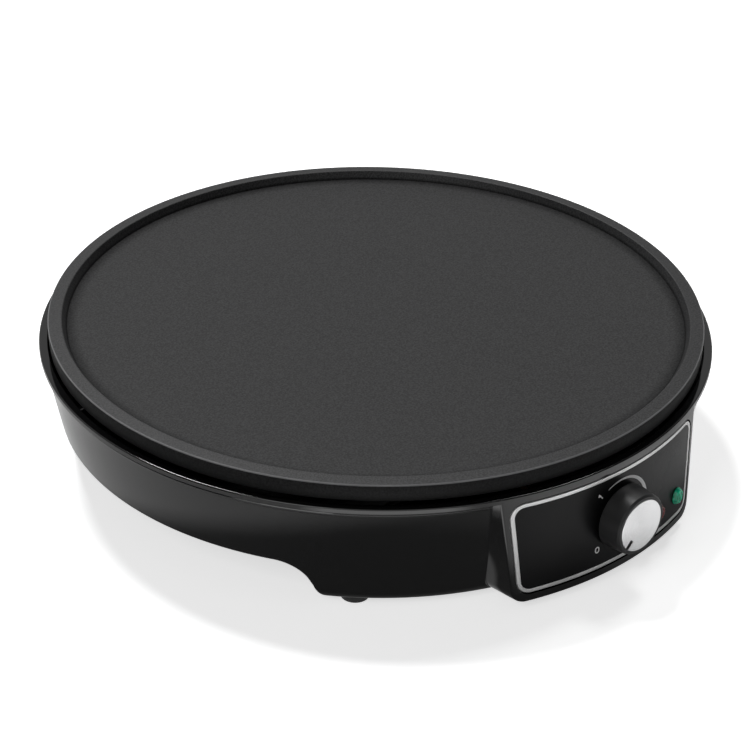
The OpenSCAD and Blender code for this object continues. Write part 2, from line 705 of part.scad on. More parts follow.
// a strap from its screw at the origin along +X over a rod of radius r, with an upturned end
module strap(r) difference() {
    hook_x = clip_reach + r + seat_gap;
    low_z = under_z - 2 * r - hole_fit - clip_t;
    union() {
        translate([-clip_pad_r, -clip_w / 2, low_z]) cube([hook_x + clip_t + clip_pad_r, clip_w, clip_t]);
        translate([hook_x, -clip_w / 2, low_z]) cube([clip_t, clip_w, 2 * r + clip_t - seat_gap]);
    }
    translate([0, 0, low_z - 1]) cylinder(r = small_screw[0] + hole_fit, h = 3, $fn = 48);
}
module bulb_clip() color([0.7, 0.7, 0.72]) on_axis()
    translate([0, bulb_y + clip_reach, 0]) rotate([0, 0, -90]) strap(bulb_r);
module fuse_clip() color([0.7, 0.7, 0.72]) on_axis()
    translate([fuse_x - clip_reach, fuse_y, 0]) strap(fuse_r);
module clip_screws() color([0.65, 0.65, 0.67]) on_axis() {
    translate([0, bulb_y + clip_reach, under_z - 2 * bulb_r - hole_fit - clip_t])
        screw(small_screw, clip_screw_len - 0.5);
    translate([fuse_x - clip_reach, fuse_y, under_z - 2 * fuse_r - hole_fit - clip_t])
        screw(small_screw, clip_screw_len - 0.5);
}

// ---- heating element ----
module heating_element() color([0.45, 0.44, 0.43]) on_axis() {
    rotate([0, 0, ring_gap - 90]) rotate_extrude(angle = 360 - 2 * ring_gap, $fn = 180)
        translate([ring_r, ring_z]) circle(r = tube_r, $fn = 48);
    for (side = [-1, 1]) rotate([0, 0, side * ring_gap]) translate([0, -ring_r, ring_z - bend_r])
        mirror([side > 0 ? 1 : 0, 0, 0]) rotate([90, 0, 0]) {
            rotate_extrude(angle = 92, $fn = 96) translate([bend_r, 0]) circle(r = leg_r, $fn = 48);
            translate([bend_r, 0, 0]) rotate([90, 0, 0]) cylinder(r = leg_r, h = leg_len, $fn = 48);
        }
}
module at_legs() for (side = [-1, 1]) translate([side * leg_x, leg_y, leg_end_z]) children();
module element_seals() color([0.93, 0.92, 0.88]) on_axis() at_legs() translate([0, 0, -seal_len])
    cylinder(r = tube_r - 0.2, h = seal_len, $fn = 48);
module element_tabs() color([0.85, 0.75, 0.4]) on_axis() at_legs()
    translate([-tab_w / 2, -tab_t / 2, -seal_len - tab_drop]) cube([tab_w, tab_t, tab_drop]);

// ---- heat shield and fixings ----
module heat_shield() color([0.74, 0.75, 0.76]) on_axis() difference() {
    lathe([[0, shield_z], [shield_r, shield_z], [shield_r, shield_z + shield_rim_h],
        [shield_r - shield_t, shield_z + shield_rim_h], [shield_r - shield_t, shield_z + shield_t],
        [0, shield_z + shield_t]]);
    at_plate_screws() shield_hole(plate_screw[0] + 2 * hole_fit);
    translate([0, earth_y, 0]) shield_hole(plate_screw[0] + 2 * hole_fit);
    at_legs() translate([0, 0, -leg_end_z]) shield_hole(leg_hole_r);
    for (p = [fuse_hole_a, fuse_hole_b, bulb_hole]) translate(p) shield_hole(wire_hole_r);
}
module shield_hole(r) translate([0, 0, shield_z - 1]) cylinder(r = r, h = shield_t + 2, $fn = 48);
module shield_spacers() color([0.9, 0.89, 0.85]) on_axis() at_plate_screws()
    translate([0, 0, tower_z]) ring(plate_boss_r, plate_screw[0] + 2 * hole_fit, spacer_h);
module plate_screws() color([0.7, 0.7, 0.72]) on_axis() at_plate_screws()
    translate([0, 0, seat_z]) screw(plate_screw, hole_top_z - 1 - seat_z);
module earth_tab() color([0.85, 0.75, 0.4]) on_axis() translate([0, earth_y, shield_z - tab_t])
    difference() {
        union() {
            cylinder(r = earth_boss_r, h = tab_t, $fn = 48);
            translate([-tab_w / 2, 0, 0]) cube([tab_w, 12, tab_t]);
        }
        translate([0, 0, -1]) cylinder(r = plate_screw[0] + hole_fit, h = 3, $fn = 48);
    }
module earth_screw() color([0.85, 0.75, 0.4]) on_axis() translate([0, earth_y, shield_z - tab_t])
    screw([plate_screw[0], plate_screw[1], 2.2], 9);

// ---- lamps ----
module lens() {
    face = box_r(lamp_z) - inlay_inset;
    translate([0, 0, face + 0.08]) cylinder(r1 = lens_r, r2 = lens_r - 0.7, h = lens_out, $fn = 64);
    translate([0, 0, face - stem_len]) cylinder(r = stem_r, h = stem_len + 0.2, $fn = 64);
}
module green_lens() color([0.05, 0.55, 0.35]) on_axis() square_to_face(green_angle, lamp_z) lens();
module red_lens() color([0.5, 0.05, 0.05]) on_axis() square_to_face(red_angle, lamp_z) lens();
module lamp_sleeves() color([0.9, 0.9, 0.88]) on_axis() at_lamps()
    translate([0, 0, sleeve_end_out - sleeve_len]) ring(sleeve_r, stem_r + hole_fit, sleeve_len);
module neon_lamps() color([0.95, 0.8, 0.65]) on_axis() at_lamps()
    translate([0, 0, neon_front_out - neon_len]) cylinder(r = neon_r, h = neon_len, $fn = 48);

// ---- wires: hand-placed routes from the plate's axis ----
module lamp_leads() color([0.15, 0.2, 0.5]) on_axis() {
    tube([lamp_point(green_angle, lamp_lead_x, lamp_back), green_neutral, green_neutral + [-4, 12, 5],
        [27, leg_y - 12, 30], [leg_x + 1.5, leg_y - 4, 32],
        [leg_x + 1.5, leg_lead_y, 32]], lamp_lead_r);
    tube([lamp_point(red_angle, lamp_lead_x, lamp_back), red_neutral, red_neutral + [2, 15, 0],
        [23, leg_y - 12, 27], [leg_x - 1.5, leg_y - 4, 32],
        [leg_x - 1.5, leg_lead_y, 32]], lamp_lead_r);
    tube([lamp_point(green_angle, -lamp_lead_x, lamp_back),
        lamp_point(green_angle, -lamp_lead_x, lead_bend),
        [body_w / 2 + 9, back_y + 2, 23.5], [body_w / 2 + 2, back_y + 4.5, tab_z],
        [tab_x + 4, back_y + 5, tab_z], [tab_x + tab_t / 2 + seat_gap, back_y + 5, tab_z]], lamp_lead_r);
    tube([lamp_point(red_angle, -lamp_lead_x, lamp_back),
        lamp_point(red_angle, -lamp_lead_x, lead_bend),
        [body_w / 2 + 1, back_y + 4, 17.5], [tab_x, back_y + 6, 17.5], [0, back_y + 6, 21],
        [4 - tab_x, back_y + 5, tab_z], [tab_t / 2 + seat_gap - tab_x, back_y + 5, tab_z]], lamp_lead_r);
}
module live_wire() color([0.45, 0.25, 0.12]) on_axis() tube([
    live_tab, live_tab + [0, 8, 0.6], [-13, -88, wire_z + 1], [-18, -74, wire_z], [-30, -45, wire_z],
    [-34, 0, wire_z], [-28, 45, wire_z], [-15, drop_y - 12, wire_z + 1], [-pole_x, drop_y, drop_z],
    [-pole_x, block_front_y - 2.5, pole_z + 1], [-pole_x, block_front_y, pole_z]], wire_r);
module neutral_wire() color([0.15, 0.3, 0.7]) on_axis() tube([
    [leg_x, leg_wire_y, 31], [leg_x, leg_y + 5, 31], [25, -70, wire_z + 1], [30, -45, wire_z],
    [34, 0, wire_z], [28, 45, wire_z], [15, drop_y - 12, wire_z + 1], [pole_x, drop_y, drop_z],
    [pole_x, block_front_y - 2.5, pole_z + 1], [pole_x, block_front_y, pole_z]], wire_r);
module switched_wire() color([0.45, 0.25, 0.12]) on_axis() tube([
    switched_tab, switched_tab + [0, 7, 0.6], [6, -92, 29], [-3, -78, 33], [-14, -52, 38],
    [-30, -22, 42], [fuse_hole_a[0] + 2, fuse_hole_a[1] - 1, shield_z - 2],
    [fuse_hole_a[0] - 1, fuse_hole_a[1] + 0.5, shield_z + 4], [fuse_x, fuse_y + 21, fuse_z - 1],
    [fuse_x, fuse_y + 15, fuse_z], [fuse_x, fuse_y + fuse_len / 2 + seat_gap, fuse_z]], wire_r);
module fused_wire() color([0.6, 0.1, 0.08]) on_axis() tube([
    [fuse_x, fuse_y - fuse_len / 2 - seat_gap, fuse_z], [fuse_x, fuse_y - 14, fuse_z],
    [fuse_x + 1, fuse_y - 21, fuse_z - 3], [fuse_hole_b[0], fuse_hole_b[1], shield_z + 1],
    [-38, -67, shield_z - 6], [-30, -74, 34], [-leg_x, leg_y + 6, 31],
    [-leg_x, leg_wire_y, 31]], wire_r);
module earth_wire() color([0.35, 0.6, 0.15]) on_axis() tube([
    [0, block_front_y, pole_z], [0, block_front_y - 2.5, pole_z + 1], [0, drop_y, drop_z + 1],
    [0, drop_y - 4, drop_z + 8], [0, drop_y - 7, drop_z + 15], [0, earth_y + 15, 43.5],
    [0, earth_y + 11, earth_wire_z], [0, earth_y + 7, earth_wire_z]], wire_r);
module capillary_tube() color([0.8, 0.55, 0.35]) on_axis() tube([
    [bulb_len / 2 + seat_gap, bulb_y, bulb_z], [bulb_len / 2 + 6, bulb_y - 1, bulb_z],
    [bulb_len / 2 + 12, bulb_y - 7, bulb_z - 4], [bulb_hole[0], bulb_hole[1], shield_z + 1],
    [bulb_hole[0], bulb_hole[1] - 8, shield_wire_z + 1], [44, -30, shield_wire_z],
    [28, -58, shield_wire_z], [10, -78, shield_wire_z], [5, -98, shield_wire_z],
    [5, back_y + 6, shield_wire_z - 1], [5, back_y + seat_gap, shield_wire_z - 1]],
    capillary_r);

// ---- terminal block ----
module terminal_block() color([0.92, 0.91, 0.86]) on_axis() translate([0, block_y, block_z]) difference() {
    translate([-block_size[0] / 2, -block_size[1] / 2, 0]) cube(block_size);
    for (i = [-1:1]) translate([i * pole_x, block_size[1], pole_z - block_z]) rotate([90, 0, 0])
        cylinder(r = pole_r, h = 2 * block_size[1], $fn = 32);
    for (i = [-1:1], sy = [-1, 1]) translate([i * pole_x, sy * clamp_y, pole_z - block_z])
        cylinder(r = small_screw[0] + hole_fit, h = block_size[2], $fn = 32);
    for (sx = [-1, 1]) translate([sx * fixing_x, 0, 0]) {
        translate([0, 0, -1]) cylinder(r = small_screw[0] + hole_fit, h = block_size[2] + 2, $fn = 32);
        translate([0, 0, block_size[2] - 4]) cylinder(r = small_screw[1] + hole_fit, h = 5, $fn = 32);
    }
}
module clamp_screws() color([0.75, 0.76, 0.78]) on_axis()
    for (i = [-1:1], sy = [-1, 1]) translate([i * pole_x, block_y + sy * clamp_y, pole_z + pole_r + 0.2])
        cylinder(r = small_screw[0], h = 5, $fn = 32);
module block_screws() color([0.7, 0.7, 0.72]) on_axis() for (sx = [-1, 1])
    translate([sx * fixing_x, block_y, block_z + block_size[2] - 4]) mirror([0, 0, 1])
        screw(small_screw, block_size[2] - 4 + 2.8);

// ---- cord bushing ----
module cord_bushing() color([0.06, 0.06, 0.06]) on_axis() translate([0, 0, inlet_z]) rotate([-90, 0, 0])
    difference() {
        back = inlet_pad_out - inlet_pad_t;
        union() {
            translate([0, 0, inlet_pad_out]) cylinder(r = bushing_flange_r, h = bushing_flange_t);
            translate([0, 0, back - 1]) cylinder(r = bushing_r, h = inlet_pad_t + 2);
            translate([0, 0, back - 2]) cylinder(r = bushing_barb_r, h = 2);
        }
        translate([0, 0, back - 4]) cylinder(r = inlet_r, h = inlet_pad_t + 12);
    }

// ---- feet ----
module rubber_feet() color([0.05, 0.05, 0.05]) on_axis() at_feet() difference() {
    rotate_extrude() polygon(rounded([[0, 0, 0], [foot_bottom_r, 0, 0.8], [foot_r, skirt_z, 0],
        [0, skirt_z, 0]], 4));
    translate([0, 0, -1]) cylinder(r = foot_screw[0] + hole_fit, h = skirt_z + 2, $fn = 48);
    translate([0, 0, -1]) cylinder(r = foot_screw[1] + hole_fit, h = 1 + foot_head_z, $fn = 48);
}
module foot_screws() color([0.7, 0.7, 0.72]) on_axis() at_feet()
    translate([0, 0, foot_head_z]) screw(foot_screw, foot_screw_top - foot_head_z);

griddle_plate();
base_housing();
control_panel();
panel_frame();
scale_marks();
knob_body();
knob_cap();
thermostat_shaft();
thermostat_body();
thermostat_plate();
thermostat_screws();
thermostat_tabs();
sensor_bulb();
capillary_tube();
bulb_clip();
heating_element();
element_seals();
element_tabs();
thermal_fuse();
fuse_clip();
clip_screws();
heat_shield();
shield_spacers();
plate_screws();
green_lens();
red_lens();
lamp_sleeves();
neon_lamps();
lamp_leads();
terminal_block();
clamp_screws();
block_screws();
earth_tab();
earth_screw();
live_wire();
switched_wire();
fused_wire();
neutral_wire();
earth_wire();
cord_bushing();
rubber_feet();
foot_screws();
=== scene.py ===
import math

import bmesh
import bpy
from mathutils import Matrix, Vector


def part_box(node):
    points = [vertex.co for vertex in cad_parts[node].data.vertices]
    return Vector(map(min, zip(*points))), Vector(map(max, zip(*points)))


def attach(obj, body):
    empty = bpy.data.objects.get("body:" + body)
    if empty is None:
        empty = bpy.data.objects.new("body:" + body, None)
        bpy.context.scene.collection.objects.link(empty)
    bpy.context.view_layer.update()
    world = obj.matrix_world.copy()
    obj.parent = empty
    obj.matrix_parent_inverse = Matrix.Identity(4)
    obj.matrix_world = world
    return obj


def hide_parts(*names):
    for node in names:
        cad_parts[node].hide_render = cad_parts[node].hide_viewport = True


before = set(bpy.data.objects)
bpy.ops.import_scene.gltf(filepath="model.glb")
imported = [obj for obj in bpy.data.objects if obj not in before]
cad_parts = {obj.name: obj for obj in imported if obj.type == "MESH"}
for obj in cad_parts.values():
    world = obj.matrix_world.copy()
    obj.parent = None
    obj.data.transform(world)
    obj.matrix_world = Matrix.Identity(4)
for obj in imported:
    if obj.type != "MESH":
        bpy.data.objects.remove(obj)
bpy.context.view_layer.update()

mm = 0.001
mergeDistance = 0.0005      # mm, joins the seams and poles of turned shapes

# the plate's upright axis lies a little behind the origin, and all shapes are made in mm about it
plateLow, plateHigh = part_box("griddle_plate")
axisY = (plateLow[1] + plateHigh[1]) / 2
print("frame loaded, plate diameter", round((plateHigh[0] - plateLow[0]) / mm, 1), "mm")


# a mesh made in mm about the plate's axis becomes a piece in the frame
def addPiece(name, bm, angle=35):
    bmesh.ops.scale(bm, vec=(mm, mm, mm), verts=bm.verts)
    bmesh.ops.translate(bm, vec=(0, axisY, 0), verts=bm.verts)
    mesh = bpy.data.meshes.new(name)
    bm.to_mesh(mesh)
    bm.free()
    mesh.shade_smooth()
    mesh.set_sharp_from_angle(angle=math.radians(angle))
    piece = bpy.data.objects.new(name, mesh)
    bpy.context.scene.collection.objects.link(piece)
    flatShading = piece.modifiers.new("flatShading", "WEIGHTED_NORMAL")      # large flat faces shade flat
    flatShading.keep_sharp = True
    return piece


def finish(piece, body, slotName, material, *nodes):
    piece.data.materials.clear()
    piece.data.materials.append(material)
    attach(piece, body)
    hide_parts(*nodes)


# a merged copy of a solid's mesh, in mm about the plate's axis
def solidCopy(node):
    looseCorners = 0.002 * mm
    bm = bmesh.new()
    bm.from_mesh(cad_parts[node].data)
    bmesh.ops.remove_doubles(bm, verts=bm.verts, dist=looseCorners)
    bmesh.ops.translate(bm, vec=(0, -axisY, 0), verts=bm.verts)
    bmesh.ops.scale(bm, vec=(1 / mm, 1 / mm, 1 / mm), verts=bm.verts)
    return bm


# corners (across, up, radius) in mm, each rounded in a few steps
def roundedPath(corners, steps=5, closed=False):
    path = []
    for i, (across, up, radius) in enumerate(corners):
        here = Vector((across, up))
        if radius == 0 or (not closed and i in (0, len(corners) - 1)):
            path.append(here)
            continue
        before = (Vector(corners[i - 1][:2]) - here).normalized()
        after = (Vector(corners[(i + 1) % len(corners)][:2]) - here).normalized()
        half = before.angle(after) / 2
        centre = here + (before + after).normalized() * radius / math.sin(half)
        start = here + before * radius / math.tan(half) - centre
        end = here + after * radius / math.tan(half) - centre
        sweep = math.copysign(math.pi - 2 * half, start.x * end.y - start.y * end.x)
        path += [centre + Matrix.Rotation(sweep * step / steps, 2) @ start for step in range(steps + 1)]
    return path


# a profile of (radius, height) points in the XZ plane
def addProfile(bm, path):
    verts = [bm.verts.new((point[0], 0, point[1])) for point in path]
    return verts + [bm.edges.new(pair) for pair in zip(verts, verts[1:])]


# a profile turned all the way about the upright axis
def turned(path, steps):
    bm = bmesh.new()
    bmesh.ops.spin(bm, geom=addProfile(bm, path), cent=(0, 0, 0), axis=(0, 0, 1), angle=math.tau,
                   steps=steps, use_merge=True)
    bmesh.ops.remove_doubles(bm, verts=bm.verts, dist=mergeDistance)
    bmesh.ops.recalc_face_normals(bm, faces=bm.faces)
    return bm


# turns all faces over where their outward shares add up to less than nothing
def turnOutwards(bm, shares):
    if sum(shares) < 0:
        bmesh.ops.reverse_faces(bm, faces=bm.faces)


def joinInto(bm, other):
    mesh = bpy.data.meshes.new("part")
    other.to_mesh(mesh)
    other.free()
    bm.from_mesh(mesh)
    bpy.data.meshes.remove(mesh)


# camera
cameraView = {"aimHeight": 0.0317, "distance": 1.2675, "azimuth": -133.15, "elevation": 30.26,
              "roll": 1.16, "lens": 128.6, "sensor": 36, "farClip": 100}
cameraData = bpy.data.cameras.new("camera")
cameraData.lens = cameraView["lens"]
cameraData.sensor_width = cameraView["sensor"]
cameraData.clip_end = cameraView["farClip"]
camera = bpy.data.objects.new("camera", cameraData)
bpy.context.scene.collection.objects.link(camera)
heading = math.radians(cameraView["azimuth"])
rise = math.radians(cameraView["elevation"])
backward = Vector((math.cos(heading) * math.cos(rise), math.sin(heading) * math.cos(rise), math.sin(rise)))
tilt = Matrix.Rotation(math.radians(-cameraView["roll"]), 4, -backward).to_quaternion()
camera.rotation_mode = "QUATERNION"
camera.location = Vector((0, axisY, cameraView["aimHeight"])) + backward * cameraView["distance"]
camera.rotation_quaternion = tilt @ (-backward).to_track_quat("-Z", "Y")
bpy.context.scene.camera = camera


# materials
def newMaterial(name, colour, roughness, metallic=0.0):
    material = bpy.data.materials.new(name)
    material.use_nodes = True
    shader = material.node_tree.nodes["Principled BSDF"]
    shader.inputs["Base Color"].default_value = (*colour, 1)
    shader.inputs["Roughness"].default_value = roughness
    shader.inputs["Metallic"].default_value = metallic
    return material, shader


def noiseTexture(material, scale, detail=3.0, stretch=(1, 1, 1)):
    nodes, links = material.node_tree.nodes, material.node_tree.links
    place = nodes.new("ShaderNodeTexCoord")
    mapping = nodes.new("ShaderNodeMapping")
    mapping.inputs["Scale"].default_value = stretch
    noise = nodes.new("ShaderNodeTexNoise")
    noise.inputs["Scale"].default_value = scale
    noise.inputs["Detail"].default_value = detail
    links.new(place.outputs["Object"], mapping.inputs["Vector"])
    links.new(mapping.outputs["Vector"], noise.inputs["Vector"])
    return noise.outputs["Fac"]


# maps the middle of a noise to the range from low to high
def spread(material, source, low, high, fromLow=0.35, fromHigh=0.65):
    node = material.node_tree.nodes.new("ShaderNodeMapRange")
    for name, value in {"From Min": fromLow, "From Max": fromHigh, "To Min": low, "To Max": high}.items():
        node.inputs[name].default_value = value
    material.node_tree.links.new(source, node.inputs["Value"])
    return node.outputs["Result"]


def blendColours(material, shader, source, first, second):
    ramp = material.node_tree.nodes.new("ShaderNodeMixRGB")
    ramp.inputs["Color1"].default_value = (*first, 1)
    ramp.inputs["Color2"].default_value = (*second, 1)
    material.node_tree.links.new(source, ramp.inputs["Fac"])
    material.node_tree.links.new(ramp.outputs["Color"], shader.inputs["Base Color"])


def addBump(material, shader, source, depth, strength=1.0):
    bump = material.node_tree.nodes.new("ShaderNodeBump")
    bump.inputs["Distance"].default_value = depth * mm
    bump.inputs["Strength"].default_value = strength
    material.node_tree.links.new(source, bump.inputs["Height"])
    material.node_tree.links.new(bump.outputs["Normal"], shader.inputs["Normal"])


# a Math node on two sockets, or on a socket and a number
def combine(material, operation, first, second):
    node = material.node_tree.nodes.new("ShaderNodeMath")
    node.operation = operation
    material.node_tree.links.new(first, node.inputs[0])
    if isinstance(second, (int, float)):
        node.inputs[1].default_value = second
    else:
        material.node_tree.links.new(second, node.inputs[1])
    return node.outputs["Value"]


# one colour over another by a mask, or multiplied with it where there is no mask
def mixOver(material, mask, base, over):
    node = material.node_tree.nodes.new("ShaderNodeMixRGB")
    if mask is None:
        node.blend_type = "MULTIPLY"
        node.inputs["Fac"].default_value = 1
    else:
        material.node_tree.links.new(mask, node.inputs["Fac"])
    material.node_tree.links.new(base, node.inputs["Color1"])
    if isinstance(over, tuple):
        node.inputs["Color2"].default_value = over
    else:
        material.node_tree.links.new(over, node.inputs["Color2"])
    return node.outputs["Color"]


def scaled(colour, factor):
    return tuple(channel * factor for channel in colour)


# colours, gloss and noises, with the distances from the axis and the heights (m) where they change
coating = {"plain": (0.03, 0.03, 0.031), "plainRoughness": 0.5, "plainGloss": 0.3,
           # the shadow colour below is painted shade on the lower outer wall
           "dark": (0.009, 0.009, 0.0093), "light": (0.036, 0.036, 0.037), "shadow": (0.002, 0.002, 0.002, 1),
           # the light edge colour below is a painted highlight on the plate's outer top edge
           "paintedHighlight": (0.19, 0.19, 0.193, 1), "highlightPolish": 0.2, "roughness": (0.49, 0.52),
           "gloss": (0.03, 0.22), "glossShades": (0.4, 0.95),
           "shadeBand": (0.138, 0.153), "wallBand": (0.1516, 0.152),
           "highlightBand": (0.1518, 0.1521), "shadowHeights": (0.06, 0.0655), "shadowMost": 0.75,
           "highlightHeights": (0.0665, 0.0668), "grain": 2000, "speckle": 1300, "clouds": 22, "grainDepth": 0.05,
           "shades": ((0, 0.85), (0.36, 0.5), (0.385, 0.4), (0.43, 0.95), (0.5, 1), (0.92, 1), (0.96, 0.4))}


# painted shade: the coating is darkened in the crease round the cooking surface and on the outer wall, where
# shade falls
def nonstickCoating():
    material, shader = newMaterial("nonstickCoating", coating["plain"], coating["plainRoughness"])
    shader.inputs["Specular IOR Level"].default_value = coating["plainGloss"]
    nodes, links = material.node_tree.nodes, material.node_tree.links
    grain = noiseTexture(material, coating["grain"], 2)
    speckle = noiseTexture(material, coating["speckle"], 4)
    clouds = noiseTexture(material, coating["clouds"], 3)
    place = nodes.new("ShaderNodeTexCoord")
    aboutAxis = nodes.new("ShaderNodeMapping")
    aboutAxis.inputs["Location"].default_value = (0, -axisY, 0)
    aboutAxis.inputs["Scale"].default_value = (1, 1, 0)
    radius = nodes.new("ShaderNodeVectorMath")
    radius.operation = "LENGTH"
    links.new(place.outputs["Object"], aboutAxis.inputs["Vector"])
    links.new(aboutAxis.outputs["Vector"], radius.inputs[0])
    # painted shade: a ramp by distance from the axis darkens the crease at the slope's foot and the outer
    # wall
    shades = nodes.new("ShaderNodeValToRGB")
    links.new(spread(material, radius.outputs["Value"], 0, 1, *coating["shadeBand"]), shades.inputs["Fac"])
    for position, _ in coating["shades"][1:-1]:
        shades.color_ramp.elements.new(position)
    for element, (position, shade) in zip(shades.color_ramp.elements, coating["shades"]):
        element.position = position
        element.color = (shade, shade, shade, 1)
    blendColours(material, shader, spread(material, speckle, 0, 1), coating["dark"], coating["light"])
    speckled = shader.inputs["Base Color"].links[0].from_socket
    shaded = mixOver(material, None, speckled, shades.outputs["Color"])
    heights = nodes.new("ShaderNodeSeparateXYZ")
    links.new(place.outputs["Object"], heights.inputs["Vector"])
    # painted shade: the outer wall is darkened downwards; painted highlight: a light line is painted along
    # its top edge, which is also made smoother
    onWall = spread(material, radius.outputs["Value"], 0, 1, *coating["wallBand"])
    low = spread(material, heights.outputs["Z"], coating["shadowMost"], 0, *coating["shadowHeights"])
    low = combine(material, "MULTIPLY", low, onWall)
    # painted highlight: a thin light band on the rounded top edge of the outer wall
    onEdge = spread(material, radius.outputs["Value"], 0, 1, *coating["highlightBand"])
    highlightMask = spread(material, heights.outputs["Z"], 0, 1, *coating["highlightHeights"])
    highlightMask = combine(material, "MULTIPLY", highlightMask, onEdge)
    # painted shade: the lower outer wall is blended towards the dark shadow colour
    shaded = mixOver(material, low, shaded, coating["shadow"])
    links.new(mixOver(material, highlightMask, shaded, coating["paintedHighlight"]), shader.inputs["Base Color"])
    gloss = spread(material, shades.outputs["Color"], *coating["gloss"], *coating["glossShades"])
    links.new(gloss, shader.inputs["Specular IOR Level"])
    polish = combine(material, "MULTIPLY", highlightMask, coating["highlightPolish"])
    roughness = combine(material, "SUBTRACT", spread(material, clouds, *coating["roughness"]), polish)
    links.new(roughness, shader.inputs["Roughness"])
    addBump(material, shader, grain, coating["grainDepth"], 0.6)
    return material


moulded = {"flow": 30, "darkest": 0.88, "lightest": 1.12, "grainStrength": 0.5}


# moulded plastic: faint flow in the gloss, fine grain where it is satin
def mouldedPlastic(name, colour, roughness, grainDepth, grainScale=900, gloss=0.5):
    material, shader = newMaterial(name, colour, roughness)
    shader.inputs["Specular IOR Level"].default_value = gloss
    flow = noiseTexture(material, moulded["flow"], 3)
    grain = noiseTexture(material, grainScale, 2)
    least, most = moulded["darkest"], moulded["lightest"]
    blendColours(material, shader, spread(material, flow, 0, 1), scaled(colour, least), scaled(colour, most))
    material.node_tree.links.new(spread(material, flow, roughness * least, roughness * most),
                                 shader.inputs["Roughness"])
    addBump(material, shader, grain, grainDepth, moulded["grainStrength"])
    return material


drawn = {"lines": 500, "cast": 60, "smoothest": 0.8, "roughest": 1.2, "lineDepth": 0.01, "lineStrength": 0.4}


# sheet and turned metal: fine drawn lines along one direction
def drawnMetal(name, colour, roughness, stretch=(1, 1, 1), tint=0.15, metallic=1.0):
    material, shader = newMaterial(name, colour, roughness, metallic)
    lines = noiseTexture(material, drawn["lines"], 3, stretch)
    cast = noiseTexture(material, drawn["cast"], 3)
    blendColours(material, shader, spread(material, cast, 0, 1), scaled(colour, 1 - tint), colour)
    gloss = spread(material, lines, roughness * drawn["smoothest"], roughness * drawn["roughest"])
    material.node_tree.links.new(gloss, shader.inputs["Roughness"])
    addBump(material, shader, lines, drawn["lineDepth"], drawn["lineStrength"])
    return material


spun = {"plain": (0.9, 0.9, 0.905), "plainRoughness": 0.3, "dark": (0.58, 0.58, 0.585),
        "light": (0.7, 0.7, 0.705), "roughness": (0.26, 0.36), "anisotropy": 0.85,
        "ringStretch": (60, 0.6, 1), "ringScale": 1.5}


# the cap's fine turned rings, on its own polar UV map
def spunAluminium():
    material, shader = newMaterial("spunAluminium", spun["plain"], spun["plainRoughness"], 1.0)
    shader.inputs["Anisotropic"].default_value = spun["anisotropy"]
    nodes, links = material.node_tree.nodes, material.node_tree.links
    polar = nodes.new("ShaderNodeUVMap")
    polar.uv_map = "polar"
    along = nodes.new("ShaderNodeTangent")
    along.direction_type = "UV_MAP"
    along.uv_map = "polar"
    links.new(along.outputs["Tangent"], shader.inputs["Tangent"])
    mapping = nodes.new("ShaderNodeMapping")
    mapping.inputs["Scale"].default_value = spun["ringStretch"]
    links.new(polar.outputs["UV"], mapping.inputs["Vector"])
    rings = nodes.new("ShaderNodeTexNoise")
    rings.inputs["Scale"].default_value = spun["ringScale"]
    rings.inputs["Detail"].default_value = 4
    links.new(mapping.outputs["Vector"], rings.inputs["Vector"])
    blendColours(material, shader, spread(material, rings.outputs["Fac"], 0, 1), spun["dark"], spun["light"])
    links.new(spread(material, rings.outputs["Fac"], *spun["roughness"]), shader.inputs["Roughness"])
    return material


lensFinish = {"roughness": 0.12, "mottle": 250, "transmission": 0.25, "coat": 0.15}


# tinted plastic, a little clear and a little mottled
def lensPlastic(name, colour, edgeColour):
    material, shader = newMaterial(name, colour, lensFinish["roughness"])
    mottle = noiseTexture(material, lensFinish["mottle"], 2)
    blendColours(material, shader, spread(material, mottle, 0, 1), colour, edgeColour)
    shader.inputs["Transmission Weight"].default_value = lensFinish["transmission"]
    shader.inputs["Coat Weight"].default_value = lensFinish["coat"]
    addBump(material, shader, mottle, 0.02, 0.3)
    return material


nonstick = nonstickCoating()
glossHousing = mouldedPlastic("glossHousing", (0.002, 0.002, 0.0022), 0.08, 0.006, 60)
satinInlay = mouldedPlastic("satinInlay", (0.006, 0.006, 0.0063), 0.3, 0.02, gloss=0.12)
knobPlastic = mouldedPlastic("knobPlastic", (0.024, 0.024, 0.0245), 0.4, 0.02, gloss=0.18)
blackRubber = mouldedPlastic("blackRubber", (0.012, 0.012, 0.012), 0.6, 0.04)
blackNylon = mouldedPlastic("blackNylon", (0.012, 0.012, 0.012), 0.42, 0.02)
silverTrim = drawnMetal("silverTrim", (0.78, 0.78, 0.78), 0.42, metallic=0.4)
dialPrint = mouldedPlastic("dialPrint", (0.72, 0.72, 0.72), 0.5, 0.01)
brightCap = spunAluminium()
greenPlastic = lensPlastic("greenPlastic", (0.0, 0.5, 0.27), (0.0, 0.85, 0.48))
redPlastic = lensPlastic("redPlastic", (0.16, 0.006, 0.006), (0.24, 0.01, 0.01))
print("materials made")

